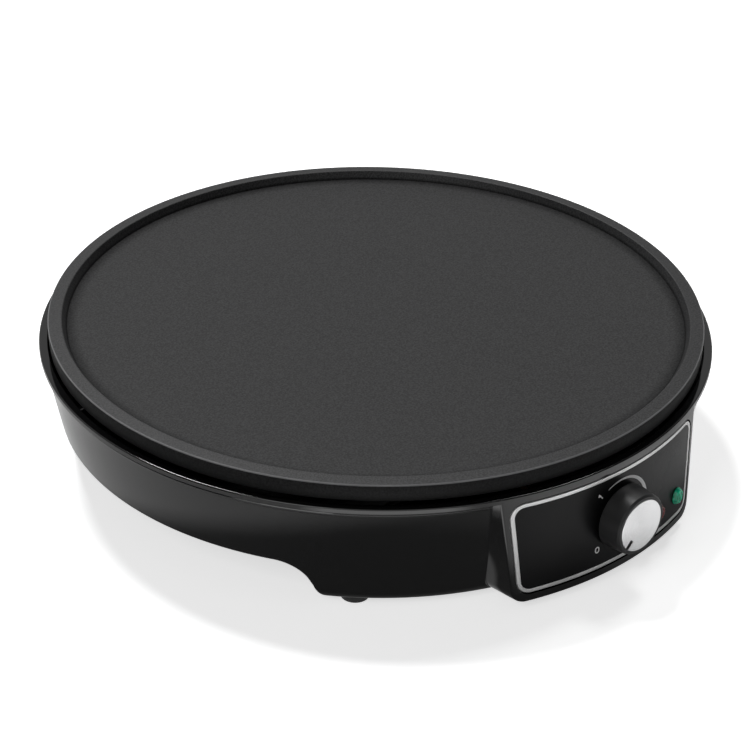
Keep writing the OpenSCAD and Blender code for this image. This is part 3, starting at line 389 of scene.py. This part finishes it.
# griddle plate: a turned casting, with the solid's ribs and bosses under it; sizes from here on are in mm
griddle = {"radius": 152.4, "under": 60.9, "foot": 59.0, "edge": 67.2, "crest": 67.9, "cook": 64.1,
           "wall": 2.6, "draft": 0.3, "rimWidth": 6.5, "slopeWidth": 2.2, "innerRound": 0.8, "footRound": 0.5,
           "edgeRound": 0.6, "crestRound": 0.7, "creaseRound": 0.3, "underRings": (70, 140),
           "creaseBand": 2.5, "cookRings": (136, 90, 40), "ribBand": 8, "steps": 256}
rimEdge = griddle["radius"] - griddle["rimWidth"]
slopeFoot = rimEdge - griddle["slopeWidth"]
wallFoot = griddle["radius"] - griddle["draft"]
bm = turned(roundedPath(
    [(0, griddle["under"], 0), *((ring, griddle["under"], 0) for ring in griddle["underRings"]),
     (griddle["radius"] - griddle["wall"], griddle["under"], griddle["innerRound"]),
     (wallFoot - griddle["wall"], griddle["foot"], griddle["footRound"]),
     (wallFoot, griddle["foot"], griddle["footRound"]),
     (griddle["radius"], griddle["edge"], griddle["edgeRound"]),
     (rimEdge, griddle["crest"], griddle["crestRound"]),
     (slopeFoot, griddle["cook"], griddle["creaseRound"]),
     (slopeFoot - griddle["creaseBand"], griddle["cook"], 0),
     *((ring, griddle["cook"], 0) for ring in griddle["cookRings"]), (0, griddle["cook"], 0)]),
    griddle["steps"])
underside = solidCopy("griddle_plate")
sameHeight = 0.02      # mm
bmesh.ops.delete(underside, context="FACES", geom=[
    face for face in underside.faces
    if max(vert.co.z for vert in face.verts) > griddle["under"] + sameHeight
    or min(vert.co.z for vert in face.verts) > griddle["under"] - sameHeight
    or face.calc_center_median().xy.length > griddle["radius"] - griddle["ribBand"]])
joinInto(bm, underside)
finish(addPiece("griddlePlate", bm), "base", "nonstick", nonstick, "griddle_plate")
print("plate made")

# housing: the outer skin is turned, the control box is bridged from loops, and the inside is the solid's
housing = {"lipTop": 57.8, "lipRadius": 156.8, "lipInner": 152.8, "lipFoot": 55.4, "lipRound": 0.7,
           "underLip": (155.6, 55.15), "neck": (155.25, 54.35), "rebate": (152.4, 56.6),
           "slopeFoot": 51.6, "slopeFootRadius": 152.2, "innerEnd": (151.4, 48),
           "beadFoot": 52.9, "beadLow": 53.15, "beadHigh": 53.95, "beadOut": 0.41, "wallTop": 54.1,
           "wallTopRadius": 155.2, "lean": 12, "foot": 4.2, "footBand": 3.5, "edgeRound": 1.1,
           "gripTop": 21.7, "gripHalf": 84, "gripAngle": 74, "gripTopRound": 12, "gripFootRound": 3,
           "rows": (6.4, 9, 13, 18, 24, 30, 37, 44, 48, 51, 52.6), "straightRows": 44, "edgeBand": 2.2,
           "skinInside": 120, "skinOverlap": 0.02}
controlBox = {"topHalf": 64, "footHalf": 56.8, "top": 57.8, "topGap": 0.3, "corner": 7, "topCorner": 0.6,
              "flare": 3, "inset": 0.05, "edgeRound": 0.9, "edgeSteps": 6, "taper": 0.5, "flatBand": 0.4,
              "topDraft": 2.4, "footDraft": 0.9, "pocket": 1.15, "overlap": 3, "cutTop": 52}
trim = {"topHalf": 56.55, "footHalf": 52.6, "top": 52.5, "foot": 9.5, "corner": 5.5, "width": 1.7,
        "groove": 0.8, "sunk": 0.05, "shoulder": 0.2, "shoulderRound": 0.06, "crown": 0.03, "fit": 0.05}
wallSlope = math.tan(math.radians(housing["lean"]))
faceSlope = math.tan(math.radians(controlBox["flare"]))
boxSlope = (controlBox["topHalf"] - controlBox["footHalf"]) / (controlBox["top"] - housing["foot"])
gripRun = (housing["gripTop"] - housing["foot"]) / math.tan(math.radians(housing["gripAngle"]))
pastHousing = 400
gripLine = roundedPath([(0, housing["gripTop"], 0),
                        (housing["gripHalf"], housing["gripTop"], housing["gripTopRound"]),
                        (housing["gripHalf"] + gripRun, housing["foot"], housing["gripFootRound"]),
                        (pastHousing, housing["foot"], 0)], 20)


def wallRadius(z):
    return housing["wallTopRadius"] - (housing["wallTop"] - z) * wallSlope


def faceRadius(z):
    return housing["lipRadius"] - controlBox["inset"] + (housing["lipTop"] - z) * faceSlope


def boxHalf(z):
    return controlBox["footHalf"] + (z - housing["foot"]) * boxSlope


# height and steepness of the raised sides' underside at a distance from the middle
def gripHeight(y):
    for near, far in zip(gripLine, gripLine[1:]):
        if near.x <= abs(y) <= far.x:
            steepness = (far.y - near.y) / max(far.x - near.x, 1e-6)
            return near.y + (abs(y) - near.x) * steepness, steepness


# the wall's lower edge follows the hand grips, and the rows over it spread out evenly
def followGrips(bm):
    edgeBand = housing["edgeBand"]
    for vert in bm.verts:
        if vert.co.z > housing["straightRows"] or vert.co.xy.length < housing["skinInside"]:
            continue
        angle = math.atan2(vert.co.y, vert.co.x)
        offset = vert.co.xy.length - wallRadius(vert.co.z)
        above = vert.co.z - housing["foot"]
        height = vert.co.z
        for _ in range(40):
            low, slope = gripHeight((wallRadius(height) + offset) * math.sin(angle))
            stretched = math.sqrt(1 + slope * slope)
            if above <= edgeBand:
                height = low + above * stretched
            else:
                base = low + edgeBand * stretched
                share = (above - edgeBand) / (housing["straightRows"] - housing["foot"] - edgeBand)
                height = base + share * (housing["straightRows"] - base)
        radius = wallRadius(height) + offset
        vert.co = (radius * math.cos(angle), radius * math.sin(angle), height)


skinFoot = housing["foot"] - housing["skinOverlap"]
firstRow = housing["rows"][1]
lowerEdge = roundedPath([(wallRadius(housing["foot"]) - housing["footBand"], skinFoot, 0),
                         (wallRadius(housing["foot"]), skinFoot, housing["edgeRound"]),
                         (wallRadius(firstRow), firstRow, 0)], 6)[:-1]
wallRows = [(wallRadius(z), z) for z in housing["rows"]]
bead = roundedPath([(wallRadius(housing["beadFoot"]), housing["beadFoot"], 0),
                    (wallRadius(housing["beadLow"]) + housing["beadOut"], housing["beadLow"], 0.3),
                    (wallRadius(housing["beadHigh"]) + housing["beadOut"], housing["beadHigh"], 0.35),
                    (*housing["neck"], 0.15), (*housing["underLip"], 0.15),
                    (housing["lipRadius"], housing["lipFoot"], 0.3),
                    (housing["lipRadius"], housing["lipTop"], housing["lipRound"]),
                    (housing["lipInner"], housing["lipTop"], housing["lipRound"] / 2),
                    (*housing["rebate"], 0.4), (housing["slopeFootRadius"], housing["slopeFoot"], 0),
                    (*housing["innerEnd"], 0)], 5)
bm = bmesh.new()
strip = addProfile(bm, [*lowerEdge, *wallRows, *bead])
# close steps where the hand grips end, wide ones between them
arcs = [(58, 29), (12, 44), (98, 49), (12, 44)] * 2
arcStart = Matrix.Rotation(math.radians(-arcs[0][0] / 2), 3, "Z")
bmesh.ops.rotate(bm, verts=bm.verts, cent=(0, 0, 0), matrix=arcStart)
for sweep, steps in arcs:
    strip = bmesh.ops.spin(bm, geom=strip, cent=(0, 0, 0), axis=(0, 0, 1), angle=math.radians(sweep),
                           steps=steps)["geom_last"]
bmesh.ops.remove_doubles(bm, verts=bm.verts, dist=mergeDistance)
followGrips(bm)
bmesh.ops.recalc_face_normals(bm, faces=bm.faces)
turnOutwards(bm, (face.normal.dot(face.calc_center_median()) for face in bm.faces
                  if housing["gripTop"] < face.calc_center_median().z < housing["slopeFoot"]))


# true where the control box covers the wall
def behindBox(centre):
    return (centre.y < 0 and centre.z < controlBox["cutTop"]
            and abs(centre.x) < boxHalf(centre.z) - controlBox["overlap"])


covered = [face for face in bm.faces if behindBox(face.calc_center_median())]
bmesh.ops.delete(bm, context="FACES", geom=covered)


outlineSteps = {"corner": 9, "level": 40, "upright": 16}


# a closed outline on the box's face, moved in by inset
def panelOutline(topHalf, footHalf, top, foot, corner, topCorner, inset):
    slope = (topHalf - footHalf) / (top - foot)
    side = inset * math.sqrt(1 + slope * slope)
    low, high = footHalf - side + inset * slope, topHalf - side - inset * slope
    lowRound, highRound = (max(radius - inset, 0.3) for radius in (corner, topCorner))
    path = roundedPath([(-low, foot + inset, lowRound), (low, foot + inset, lowRound),
                        (high, top - inset, highRound), (-high, top - inset, highRound)],
                       outlineSteps["corner"], True)
    outline = []
    for i, point in enumerate(path):
        outline.append(point)
        following = path[(i + 1) % len(path)]
        if i % (outlineSteps["corner"] + 1) == outlineSteps["corner"]:      # a straight run comes next
            isLevel = abs(following.x - point.x) > abs(following.y - point.y)
            parts = outlineSteps["level"] if isLevel else outlineSteps["upright"]
            outline += [point.lerp(following, part / parts) for part in range(1, parts)]
    return outline


boxTop = controlBox["top"] - controlBox["topGap"]


# a loop at a depth behind the box's face or the wall; a tapered one is less deep towards the top
def addLoop(bm, outline, depth, onWall=False, tapered=False):
    verts = []
    for point in outline:
        radius = wallRadius(point.y) if onWall else faceRadius(point.y)
        rise = (point.y - housing["foot"]) / (boxTop - housing["foot"])
        share = 1 - controlBox["taper"] * rise if tapered else 1
        verts.append(bm.verts.new((point.x, share * depth - math.sqrt(radius ** 2 - point.x ** 2), point.y)))
    return [bm.edges.new((verts[i - 1], verts[i])) for i in range(len(verts))]


def bridgeAll(bm, loops):
    for first, second in zip(loops, loops[1:]):
        bmesh.ops.bridge_loops(bm, edges=first + second)


# the box's outline at the wall (share 0) and at its narrower face (share 1)
def boxOutline(share, inset=0):
    return panelOutline(controlBox["topHalf"] - share * controlBox["topDraft"],
                        controlBox["footHalf"] - share * controlBox["footDraft"], boxTop, skinFoot,
                        controlBox["corner"], controlBox["topCorner"], inset)


def trimOutline(grow):
    return panelOutline(trim["topHalf"], trim["footHalf"], trim["top"], trim["foot"], trim["corner"],
                        trim["corner"], -grow)


# a small fillet where the box meets the wall, as shares of the draft and depths behind the wall
wallFillet = ((-0.3, 0.8), (-0.26, 0.03), (-0.12, -0.04), (-0.02, -0.16), (0.02, -0.45))
box = bmesh.new()
loops = [addLoop(box, boxOutline(share), depth, onWall=True) for share, depth in wallFillet]
for step in range(controlBox["edgeSteps"] + 1):
    turn = math.pi / 2 * step / controlBox["edgeSteps"]
    loops.append(addLoop(box, boxOutline(1, controlBox["edgeRound"] * (1 - math.cos(turn))),
                         controlBox["edgeRound"] * (1 - math.sin(turn)), tapered=True))
loops.append(addLoop(box, boxOutline(1, controlBox["edgeRound"] + controlBox["flatBand"]), 0))
pocketEdge = trimOutline(trim["width"] / 2 + trim["groove"])
loops += [addLoop(box, pocketEdge, 0), addLoop(box, pocketEdge, controlBox["pocket"])]
bridgeAll(box, loops)
bmesh.ops.recalc_face_normals(box, faces=box.faces)
turnOutwards(box, (-face.normal.y for face in box.faces if face.calc_area() > 1 and abs(face.normal.y) > 0.9))
joinInto(bm, box)


# distances (mm) and steepness by which the solid's own skin is told apart
skin = {"lipFrom": 51.7, "lipInside": 151.6, "near": 0.2, "facing": 0.9, "level": 0.05, "across": 0.2}


# true for a face of the solid that the new skin stands for
def isSkin(face):
    centre, normal = face.calc_center_median(), face.normal
    radius = centre.xy.length
    outwards = normal.dot(Vector((centre.x, centre.y, 0)).normalized()) > skin["facing"]
    if centre.z > skin["lipFrom"] and radius > skin["lipInside"]:
        return True
    if abs(radius - wallRadius(centre.z)) < skin["near"] and outwards:
        return True
    if centre.y > 0 or centre.z > housing["lipTop"]:
        return False
    onFace = abs(radius - faceRadius(centre.z)) < skin["near"] and outwards
    onSide = abs(centre.x) > boxHalf(centre.z) - skin["near"] and abs(normal.x) > skin["facing"]
    byCorner = (centre.z < housing["foot"] + controlBox["corner"] and radius > wallRadius(centre.z)
                and abs(centre.x) > controlBox["footHalf"] - controlBox["corner"] - 1)
    rounding = normal.z < -skin["level"] and abs(normal.x) > skin["level"] and abs(normal.y) < skin["across"]
    return onFace or onSide or (byCorner and rounding)


inside = solidCopy("base_housing")
bmesh.ops.delete(inside, context="FACES", geom=[face for face in inside.faces if isSkin(face)])
# the underside draws back behind the rounded lower edge of the wall, of the grips' ends and of the box
drawBack = {"near": 0.05, "wallUpTo": 24, "wall": 1.5, "gripEnds": (74, 93), "grip": 1.8,
            "boxUpTo": 4.3, "boxFrom": 158.5, "box": 1.9}
for vert in inside.verts:
    radius = vert.co.xy.length
    if abs(radius - wallRadius(vert.co.z)) < drawBack["near"] and vert.co.z < drawBack["wallUpTo"]:
        if drawBack["gripEnds"][0] < abs(vert.co.y) < drawBack["gripEnds"][1]:
            vert.co.x -= math.copysign(drawBack["grip"], vert.co.x)
        else:
            vert.co.xy *= (radius - drawBack["wall"]) / radius
    elif vert.co.z < drawBack["boxUpTo"] and vert.co.y < 0 and radius > drawBack["boxFrom"]:
        vert.co.xy *= (radius - drawBack["box"]) / radius
joinInto(bm, inside)
finish(addPiece("housing", bm, 40), "base", "housing_plastic", glossHousing, "base_housing")
print("housing made")

# trim line, a little crowned
bm = bmesh.new()
half, sunk = trim["width"] / 2, trim["sunk"]
side = [(half, controlBox["pocket"]), (half, sunk + trim["shoulder"]),
        (half - trim["shoulderRound"], sunk + trim["shoulderRound"]), (half - trim["shoulder"], sunk)]
across = [*side, (0, sunk - trim["crown"]), *((-grow, depth) for grow, depth in reversed(side))]
loops = [addLoop(bm, trimOutline(grow), depth) for grow, depth in across]
bridgeAll(bm, loops + [loops[0]])
bmesh.ops.recalc_face_normals(bm, faces=bm.faces)
finish(addPiece("trimLine", bm), "base", "silver_trim", silverTrim, "panel_frame")

# inlay: rows of faces that follow the trim's inner edge, with holes for the shaft and the lamps
inlay = {"inset": 0.2, "thickness": 0.95, "columns": 64, "shaftHole": 5.1, "lampHole": 3.1,
         "knobHeight": 31.6, "lampHeight": 19.5, "lampAngles": (16.1, 10), "endShare": 0.17,
         "holeSteps": 36, "holeMargin": 0.35, "holeReach": 4}
trimInside = trim["width"] / 2 + trim["fit"]
edge = [point for point in trimOutline(-trimInside) if point.x > 0]
lowest, highest = min(point.y for point in edge), max(point.y for point in edge)
rows = sorted((point.y, point.x) for point in edge if lowest + 0.001 < point.y < highest - 0.001)
endStep = (trim["corner"] - trimInside) * inlay["endShare"]
rows = [(lowest, rows[0][1] - endStep), *rows, (highest, rows[-1][1] - endStep)]
bm = bmesh.new()


def onFace(x, z, depth):
    return (x, depth - math.sqrt(faceRadius(z) ** 2 - x ** 2), z)


bmesh.ops.create_grid(bm, x_segments=inlay["columns"], y_segments=len(rows) - 1, size=1)
for vert in bm.verts:      # the grid runs from -1 to 1 both ways
    z, half = rows[round((vert.co.y + 1) / 2 * (len(rows) - 1))]
    vert.co = onFace(half * vert.co.x, z, inlay["inset"])
holes = [(0, inlay["knobHeight"], inlay["shaftHole"], 1.0)]
for angle in inlay["lampAngles"]:
    turn = math.radians(angle)
    holes.append((faceRadius(inlay["lampHeight"]) * math.sin(turn), inlay["lampHeight"], inlay["lampHole"],
                  math.cos(turn)))
for x, z, radius, squeeze in holes:
    def away(point):
        return math.hypot((point.x - x) / squeeze, point.z - z)
    margin, reach = radius + inlay["holeMargin"], radius + inlay["holeReach"]
    bmesh.ops.delete(bm, context="FACES", geom=[
        face for face in bm.faces if min(away(vert.co) for vert in face.verts) < margin])
    rim = [side for side in bm.edges
           if side.is_boundary and max(away(vert.co) for vert in side.verts) < reach]
    turns = [math.tau * step / inlay["holeSteps"] for step in range(inlay["holeSteps"])]
    ring = [bm.verts.new(onFace(x + radius * squeeze * math.cos(turn), z + radius * math.sin(turn),
                                inlay["inset"])) for turn in turns]
    ringEdges = [bm.edges.new((ring[i - 1], ring[i])) for i in range(len(ring))]
    bmesh.ops.bridge_loops(bm, edges=rim + ringEdges)
bmesh.ops.recalc_face_normals(bm, faces=bm.faces)
turnOutwards(bm, (-face.normal.y for face in bm.faces))
bmesh.ops.solidify(bm, geom=bm.faces[:], thickness=inlay["thickness"])
bmesh.ops.recalc_face_normals(bm, faces=bm.faces)
finish(addPiece("panelInlay", bm), "base", "panel_plastic", satinInlay, "control_panel")
finish(addPiece("dialMarks", solidCopy("scale_marks")), "base", "dial_print", dialPrint, "scale_marks")
print("panel made")

# knob, turned about its own level axis
knobLow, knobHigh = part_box("knob_body")
knob = {"base": 15.2, "edge": 14.3, "ring": 13.6, "wall": 1.6, "lid": 3.6, "shoulder": 1, "hub": 6.5,
        "bore": 3.05, "boreDepth": 0.3, "steps": 128, "capRadius": 12.3, "capThickness": 1.2, "capFit": 0.05,
        "capRound": 0.22, "capRings": (11.4, 9.5, 6, 2.5), "capSteps": 144, "proud": 0.2,
        "slotStart": 7.8, "slotWidth": 2.2, "offAngle": 225}
knobHeight = (knobLow[2] + knobHigh[2]) / 2 / mm
knobFront = (axisY - knobLow[1]) / mm
knobBack = (axisY - knobHigh[1]) / mm
capSeat = knobFront - knob["capThickness"] + knob["proud"]
capHole = knob["capRadius"] + knob["capFit"]
lidBack = knobFront - knob["lid"]
boreEnd = lidBack - knob["boreDepth"]
facing = Matrix.Translation((0, 0, knobHeight)) @ Matrix.Rotation(math.radians(90), 4, "X")

bm = turned(roundedPath(
    [(0, capSeat, 0), (capHole, capSeat, 0.05), (capHole, knobFront, 0.12), (knob["ring"], knobFront, 0.3),
     (knob["edge"], knobFront - knob["shoulder"], 0.45), (knob["base"], knobBack, 0.35),
     (knob["base"] - knob["wall"], knobBack, 0.3), (knob["edge"] - knob["wall"], lidBack, 0.5),
     (knob["hub"], lidBack, 0.4), (knob["hub"], knobBack, 0.3), (knob["bore"], knobBack, 0.2),
     (knob["bore"], boreEnd, 0), (0, boreEnd, 0)]), knob["steps"])
bmesh.ops.transform(bm, matrix=facing, verts=bm.verts)
finish(addPiece("knobBody", bm), "knob", "knob_plastic", knobPlastic, "knob_body")

# cap: a spun disc, with its pointer slot cut out of it
capFront = knobFront + knob["proud"]
bm = turned(roundedPath([(knob["capRadius"], capSeat, 0), (knob["capRadius"], capFront, knob["capRound"]),
                         *((ring, capFront, 0) for ring in (*knob["capRings"], 0))]), knob["capSteps"])
turnOutwards(bm, (face.normal.z for face in bm.faces))
pointer = Matrix.Rotation(math.radians(knob["offAngle"]), 3, "Z")
halfSlot = knob["slotWidth"] / 2
for point, normal in (((0, halfSlot, 0), (0, 1, 0)), ((0, -halfSlot, 0), (0, 1, 0)),
                      ((knob["slotStart"], 0, 0), (1, 0, 0))):
    bmesh.ops.bisect_plane(bm, geom=bm.verts[:] + bm.edges[:] + bm.faces[:], dist=0.0001,
                           plane_co=pointer @ Vector(point), plane_no=pointer @ Vector(normal))
straight = pointer.inverted()
bmesh.ops.delete(bm, context="FACES", geom=[
    face for face in bm.faces if (straight @ face.calc_center_median()).x > knob["slotStart"]
    and abs((straight @ face.calc_center_median()).y) < halfSlot])
slotEdges = [edge for edge in bm.edges
             if edge.is_boundary and min(vert.co.z for vert in edge.verts) > capSeat + sameHeight]
walls = bmesh.ops.extrude_edge_only(bm, edges=slotEdges)["geom"]
for vert in walls:
    if isinstance(vert, bmesh.types.BMVert):
        vert.co.z = capSeat
bmesh.ops.remove_doubles(bm, verts=bm.verts, dist=mergeDistance)
polar = bm.loops.layers.uv.new("polar")
for face in bm.faces:
    middle = face.calc_center_median()
    around = math.atan2(middle.y, middle.x)
    for loop in face.loops:
        radius = loop.vert.co.xy.length
        angle = math.atan2(loop.vert.co.y, loop.vert.co.x) if radius > 0.01 else around
        angle += math.tau * round((around - angle) / math.tau)
        loop[polar].uv = (radius / knob["capRadius"], angle / math.tau)
bmesh.ops.transform(bm, matrix=facing, verts=bm.verts)
finish(addPiece("knobCap", bm), "knob", "brushed_aluminium", brightCap, "knob_cap")
print("knob made")

# lamp lenses: a flange with stepped rings, and a stem behind it
lens = {"radius": 4, "flange": 0.12, "side": (3.94, 0.55), "shoulder": (3.3, 1.75), "face": 3.05, "out": 2.08,
        "ringSteps": ((2.45, 2.08), (2.3, 1.8), (1.7, 1.8), (1.5, 2.08), (0.9, 2.08), (0.7, 1.85)),
        "middle": 1.85, "stem": 3, "stemLength": 8.5, "steps": 48}
lensProfile = [(0, -lens["stemLength"], 0), (lens["stem"], -lens["stemLength"], 0.3),
               (lens["stem"], lens["flange"], 0.1), (lens["radius"], lens["flange"], 0.1),
               (*lens["side"], 0.15), (*lens["shoulder"], 0.2), (lens["face"], lens["out"], 0.12),
               *((*step, 0.1) for step in lens["ringSteps"]), (0, lens["middle"], 0)]
greenAngle, redAngle = inlay["lampAngles"]
for name, angle, material, slotName in (("greenLens", greenAngle, greenPlastic, "green_lens"),
                                        ("redLens", redAngle, redPlastic, "red_lens")):
    bm = turned(roundedPath(lensProfile, 3), lens["steps"])
    upright = Matrix.Rotation(math.radians(90), 4, "X")
    flared = Matrix.Rotation(math.radians(-controlBox["flare"]), 4, "X")
    place = (Matrix.Rotation(math.radians(angle), 4, "Z") @ Matrix.Translation((0, 0, inlay["lampHeight"]))
             @ upright @ Matrix.Translation((0, 0, faceRadius(inlay["lampHeight"])))
             @ flared @ Matrix.Translation((0, 0, -inlay["inset"])))
    bmesh.ops.transform(bm, matrix=place, verts=bm.verts)
    finish(addPiece(name, bm), "base", slotName, material, slotName)
print("lenses made")

for node, name, slotName, material in (("rubber_feet", "feet", "foot_rubber", blackRubber),
                                       ("cord_bushing", "cordBushing", "bushing_plastic", blackNylon)):
    finish(addPiece(name, solidCopy(node)), "base", slotName, material, node)

# finishes of the parts inside
zincSteel = drawnMetal("zincSteel", (0.6, 0.61, 0.62), 0.34, (1, 0.05, 1))
screwSteel = drawnMetal("screwSteel", (0.62, 0.62, 0.63), 0.3)
elementSteel = drawnMetal("elementSteel", (0.2, 0.19, 0.18), 0.5, tint=0.35)
brassTabs = drawnMetal("brassTabs", (0.75, 0.6, 0.3), 0.32)
drawnCopper = drawnMetal("drawnCopper", (0.7, 0.4, 0.25), 0.34)
phenolic = mouldedPlastic("phenolic", (0.015, 0.013, 0.012), 0.45, 0.02)
steatite = mouldedPlastic("steatite", (0.78, 0.76, 0.7), 0.55, 0.03)
paleNylon = mouldedPlastic("paleNylon", (0.8, 0.79, 0.74), 0.42, 0.01)
lampGlass = lensPlastic("lampGlass", (0.85, 0.78, 0.7), (0.9, 0.82, 0.74))
insulation = {name: mouldedPlastic(name, colour, 0.4, 0.01) for name, colour in {
    "blueInsulation": (0.03, 0.1, 0.4), "brownInsulation": (0.17, 0.06, 0.02),
    "redInsulation": (0.4, 0.02, 0.015), "greenInsulation": (0.12, 0.35, 0.03)}.items()}
finishes = {
    "thermostat_shaft": zincSteel, "thermostat_plate": zincSteel, "bulb_clip": zincSteel,
    "fuse_clip": zincSteel, "heat_shield": zincSteel, "thermostat_body": phenolic,
    "thermostat_screws": screwSteel, "clip_screws": screwSteel, "plate_screws": screwSteel,
    "clamp_screws": screwSteel, "block_screws": screwSteel, "foot_screws": screwSteel,
    "thermostat_tabs": brassTabs, "element_tabs": brassTabs, "earth_tab": brassTabs,
    "earth_screw": brassTabs, "sensor_bulb": drawnCopper, "capillary_tube": drawnCopper,
    "heating_element": elementSteel, "element_seals": steatite, "shield_spacers": steatite,
    "thermal_fuse": steatite, "lamp_sleeves": paleNylon, "terminal_block": paleNylon,
    "neon_lamps": lampGlass, "lamp_leads": insulation["blueInsulation"],
    "live_wire": insulation["brownInsulation"], "switched_wire": insulation["brownInsulation"],
    "fused_wire": insulation["redInsulation"], "neutral_wire": insulation["blueInsulation"],
    "earth_wire": insulation["greenInsulation"]}
for node, material in finishes.items():
    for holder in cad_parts[node].material_slots:
        holder.material = material
print("inner parts finished")

# floor, backdrop and light
studio = {"floorSize": 12.0, "floorColour": 0.95, "lampAim": 0.06, "skyStrength": 0.08, "shownGlow": 0.64}
# what glossy pieces mirror: rings on the floor by distance from the axis, a card in front and backdrops
mirrored = {"farGlow": 0.6, "farRing": (0.19, 0.225), "farTurn": -80, "farEdge": (0.883, 0.966),
            "cardGlow": 1.5, "cardRing": (0.199, 0.209), "cardTurn": -131, "cardEdge": (0.94, 0.97),
            "footGlow": 0.5, "footRing": (0.1465, 0.149),
            "rearTurn": 72, "rearGlow": 0.4, "rearEdge": (0.1, 0.6),
            "frontTurn": -133, "frontHeight": 42, "frontGlow": 0.9, "frontEdge": (0.78, 0.88)}
suns = {"rearLeft": {"turn": 76, "height": 56, "spread": 12, "strength": 2.1},
        "rearRight": {"turn": 22, "height": 56, "spread": 12, "strength": 0.55}}
softbox = {"turn": -163, "height": 36, "distance": 2.0, "size": 1.0, "power": 6}


def towards(turn, height):
    turn, height = math.radians(turn), math.radians(height)
    return Vector((math.cos(turn) * math.cos(height), math.sin(turn) * math.cos(height), math.sin(height)))


def addLamp(name, kind, turn, height, distance=0.0):
    lampData = bpy.data.lights.new(name, kind)
    lamp = bpy.data.objects.new(name, lampData)
    lamp.location = Vector((0, axisY, studio["lampAim"])) + towards(turn, height) * distance
    lamp.rotation_mode = "QUATERNION"
    lamp.rotation_quaternion = towards(turn, height).to_track_quat("Z", "Y")
    bpy.context.scene.collection.objects.link(lamp)
    return lampData


bm = bmesh.new()
bmesh.ops.create_grid(bm, x_segments=1, y_segments=1, size=studio["floorSize"] / 2 / mm)
floor = addPiece("floor", bm)
floorMaterial, floorShader = newMaterial("paleFloor", (studio["floorColour"],) * 3, 0.9)
floorShader.inputs["Specular IOR Level"].default_value = 0.1
floor.data.materials.append(floorMaterial)

# the floor glows a little where the camera sees it, and in places where pieces mirror it
floorNodes, floorLinks = floorMaterial.node_tree.nodes, floorMaterial.node_tree.links
rays = floorNodes.new("ShaderNodeLightPath")
floorPlace = floorNodes.new("ShaderNodeTexCoord")
fromAxis, outward = (floorNodes.new("ShaderNodeVectorMath") for _ in range(2))
fromAxis.operation, outward.operation = "DISTANCE", "NORMALIZE"
fromAxis.inputs[1].default_value = (0, axisY, 0)
floorLinks.new(floorPlace.outputs["Object"], fromAxis.inputs[0])
floorLinks.new(floorPlace.outputs["Object"], outward.inputs[0])


# a part of a ring on the floor, towards one side of the object
def floorGlow(strength, ring, turn, edge):
    along = floorNodes.new("ShaderNodeVectorMath")
    along.operation = "DOT_PRODUCT"
    along.inputs[1].default_value = towards(turn, 0)
    floorLinks.new(outward.outputs["Vector"], along.inputs[0])
    bright = spread(floorMaterial, fromAxis.outputs["Value"], 0, strength, *ring)
    facingIt = spread(floorMaterial, along.outputs["Value"], 0, 1, *edge)
    return combine(floorMaterial, "MULTIPLY", bright, facingIt)


farGlow = floorGlow(mirrored["farGlow"], mirrored["farRing"], mirrored["farTurn"], mirrored["farEdge"])
cardGlow = floorGlow(mirrored["cardGlow"], mirrored["cardRing"], mirrored["cardTurn"], mirrored["cardEdge"])
footGlow = spread(floorMaterial, fromAxis.outputs["Value"], mirrored["footGlow"], 0, *mirrored["footRing"])
glow = combine(floorMaterial, "ADD", combine(floorMaterial, "ADD", farGlow, cardGlow), footGlow)
glow = combine(floorMaterial, "MULTIPLY", glow, rays.outputs["Is Glossy Ray"])
shown = combine(floorMaterial, "MULTIPLY", rays.outputs["Is Camera Ray"], studio["shownGlow"])
floorShader.inputs["Emission Color"].default_value = (1, 1, 1, 1)
floorLinks.new(combine(floorMaterial, "ADD", glow, shown), floorShader.inputs["Emission Strength"])

world = bpy.data.worlds.new("studio")
bpy.context.scene.world = world
world.use_nodes = True
world.node_tree.nodes["Background"].inputs["Color"].default_value = (1, 1, 1, 1)
# glossy pieces mirror a pale backdrop behind the object and a soft one above the front
skyNodes, skyLinks = world.node_tree.nodes, world.node_tree.links
skyRays = skyNodes.new("ShaderNodeLightPath")
skyPlace = skyNodes.new("ShaderNodeTexCoord")


def backdrop(direction, strength, start, full):
    facing = skyNodes.new("ShaderNodeVectorMath")
    facing.operation = "DOT_PRODUCT"
    facing.inputs[1].default_value = direction
    skyLinks.new(skyPlace.outputs["Generated"], facing.inputs[0])
    return spread(world, facing.outputs["Value"], 0, strength, start, full)


rearDirection = towards(mirrored["rearTurn"], 0)
frontDirection = towards(mirrored["frontTurn"], mirrored["frontHeight"])
rear = backdrop(rearDirection, mirrored["rearGlow"], *mirrored["rearEdge"])
front = backdrop(frontDirection, mirrored["frontGlow"], *mirrored["frontEdge"])
backdrops = combine(world, "ADD", rear, front)
glossySky = combine(world, "MULTIPLY", skyRays.outputs["Is Glossy Ray"], backdrops)
seenSky = combine(world, "ADD", glossySky, skyRays.outputs["Is Camera Ray"])
sky = combine(world, "ADD", seenSky, studio["skyStrength"])
skyLinks.new(sky, skyNodes["Background"].inputs["Strength"])

for name, sun in suns.items():
    sunData = addLamp(name, "SUN", sun["turn"], sun["height"])
    sunData.energy = sun["strength"]
    sunData.angle = math.radians(sun["spread"])
boxData = addLamp("softbox", "AREA", softbox["turn"], softbox["height"], softbox["distance"])
boxData.shape = "DISK"
boxData.size = softbox["size"]
boxData.energy = softbox["power"]
bpy.context.scene.view_settings.view_transform = "Standard"
print("light set")
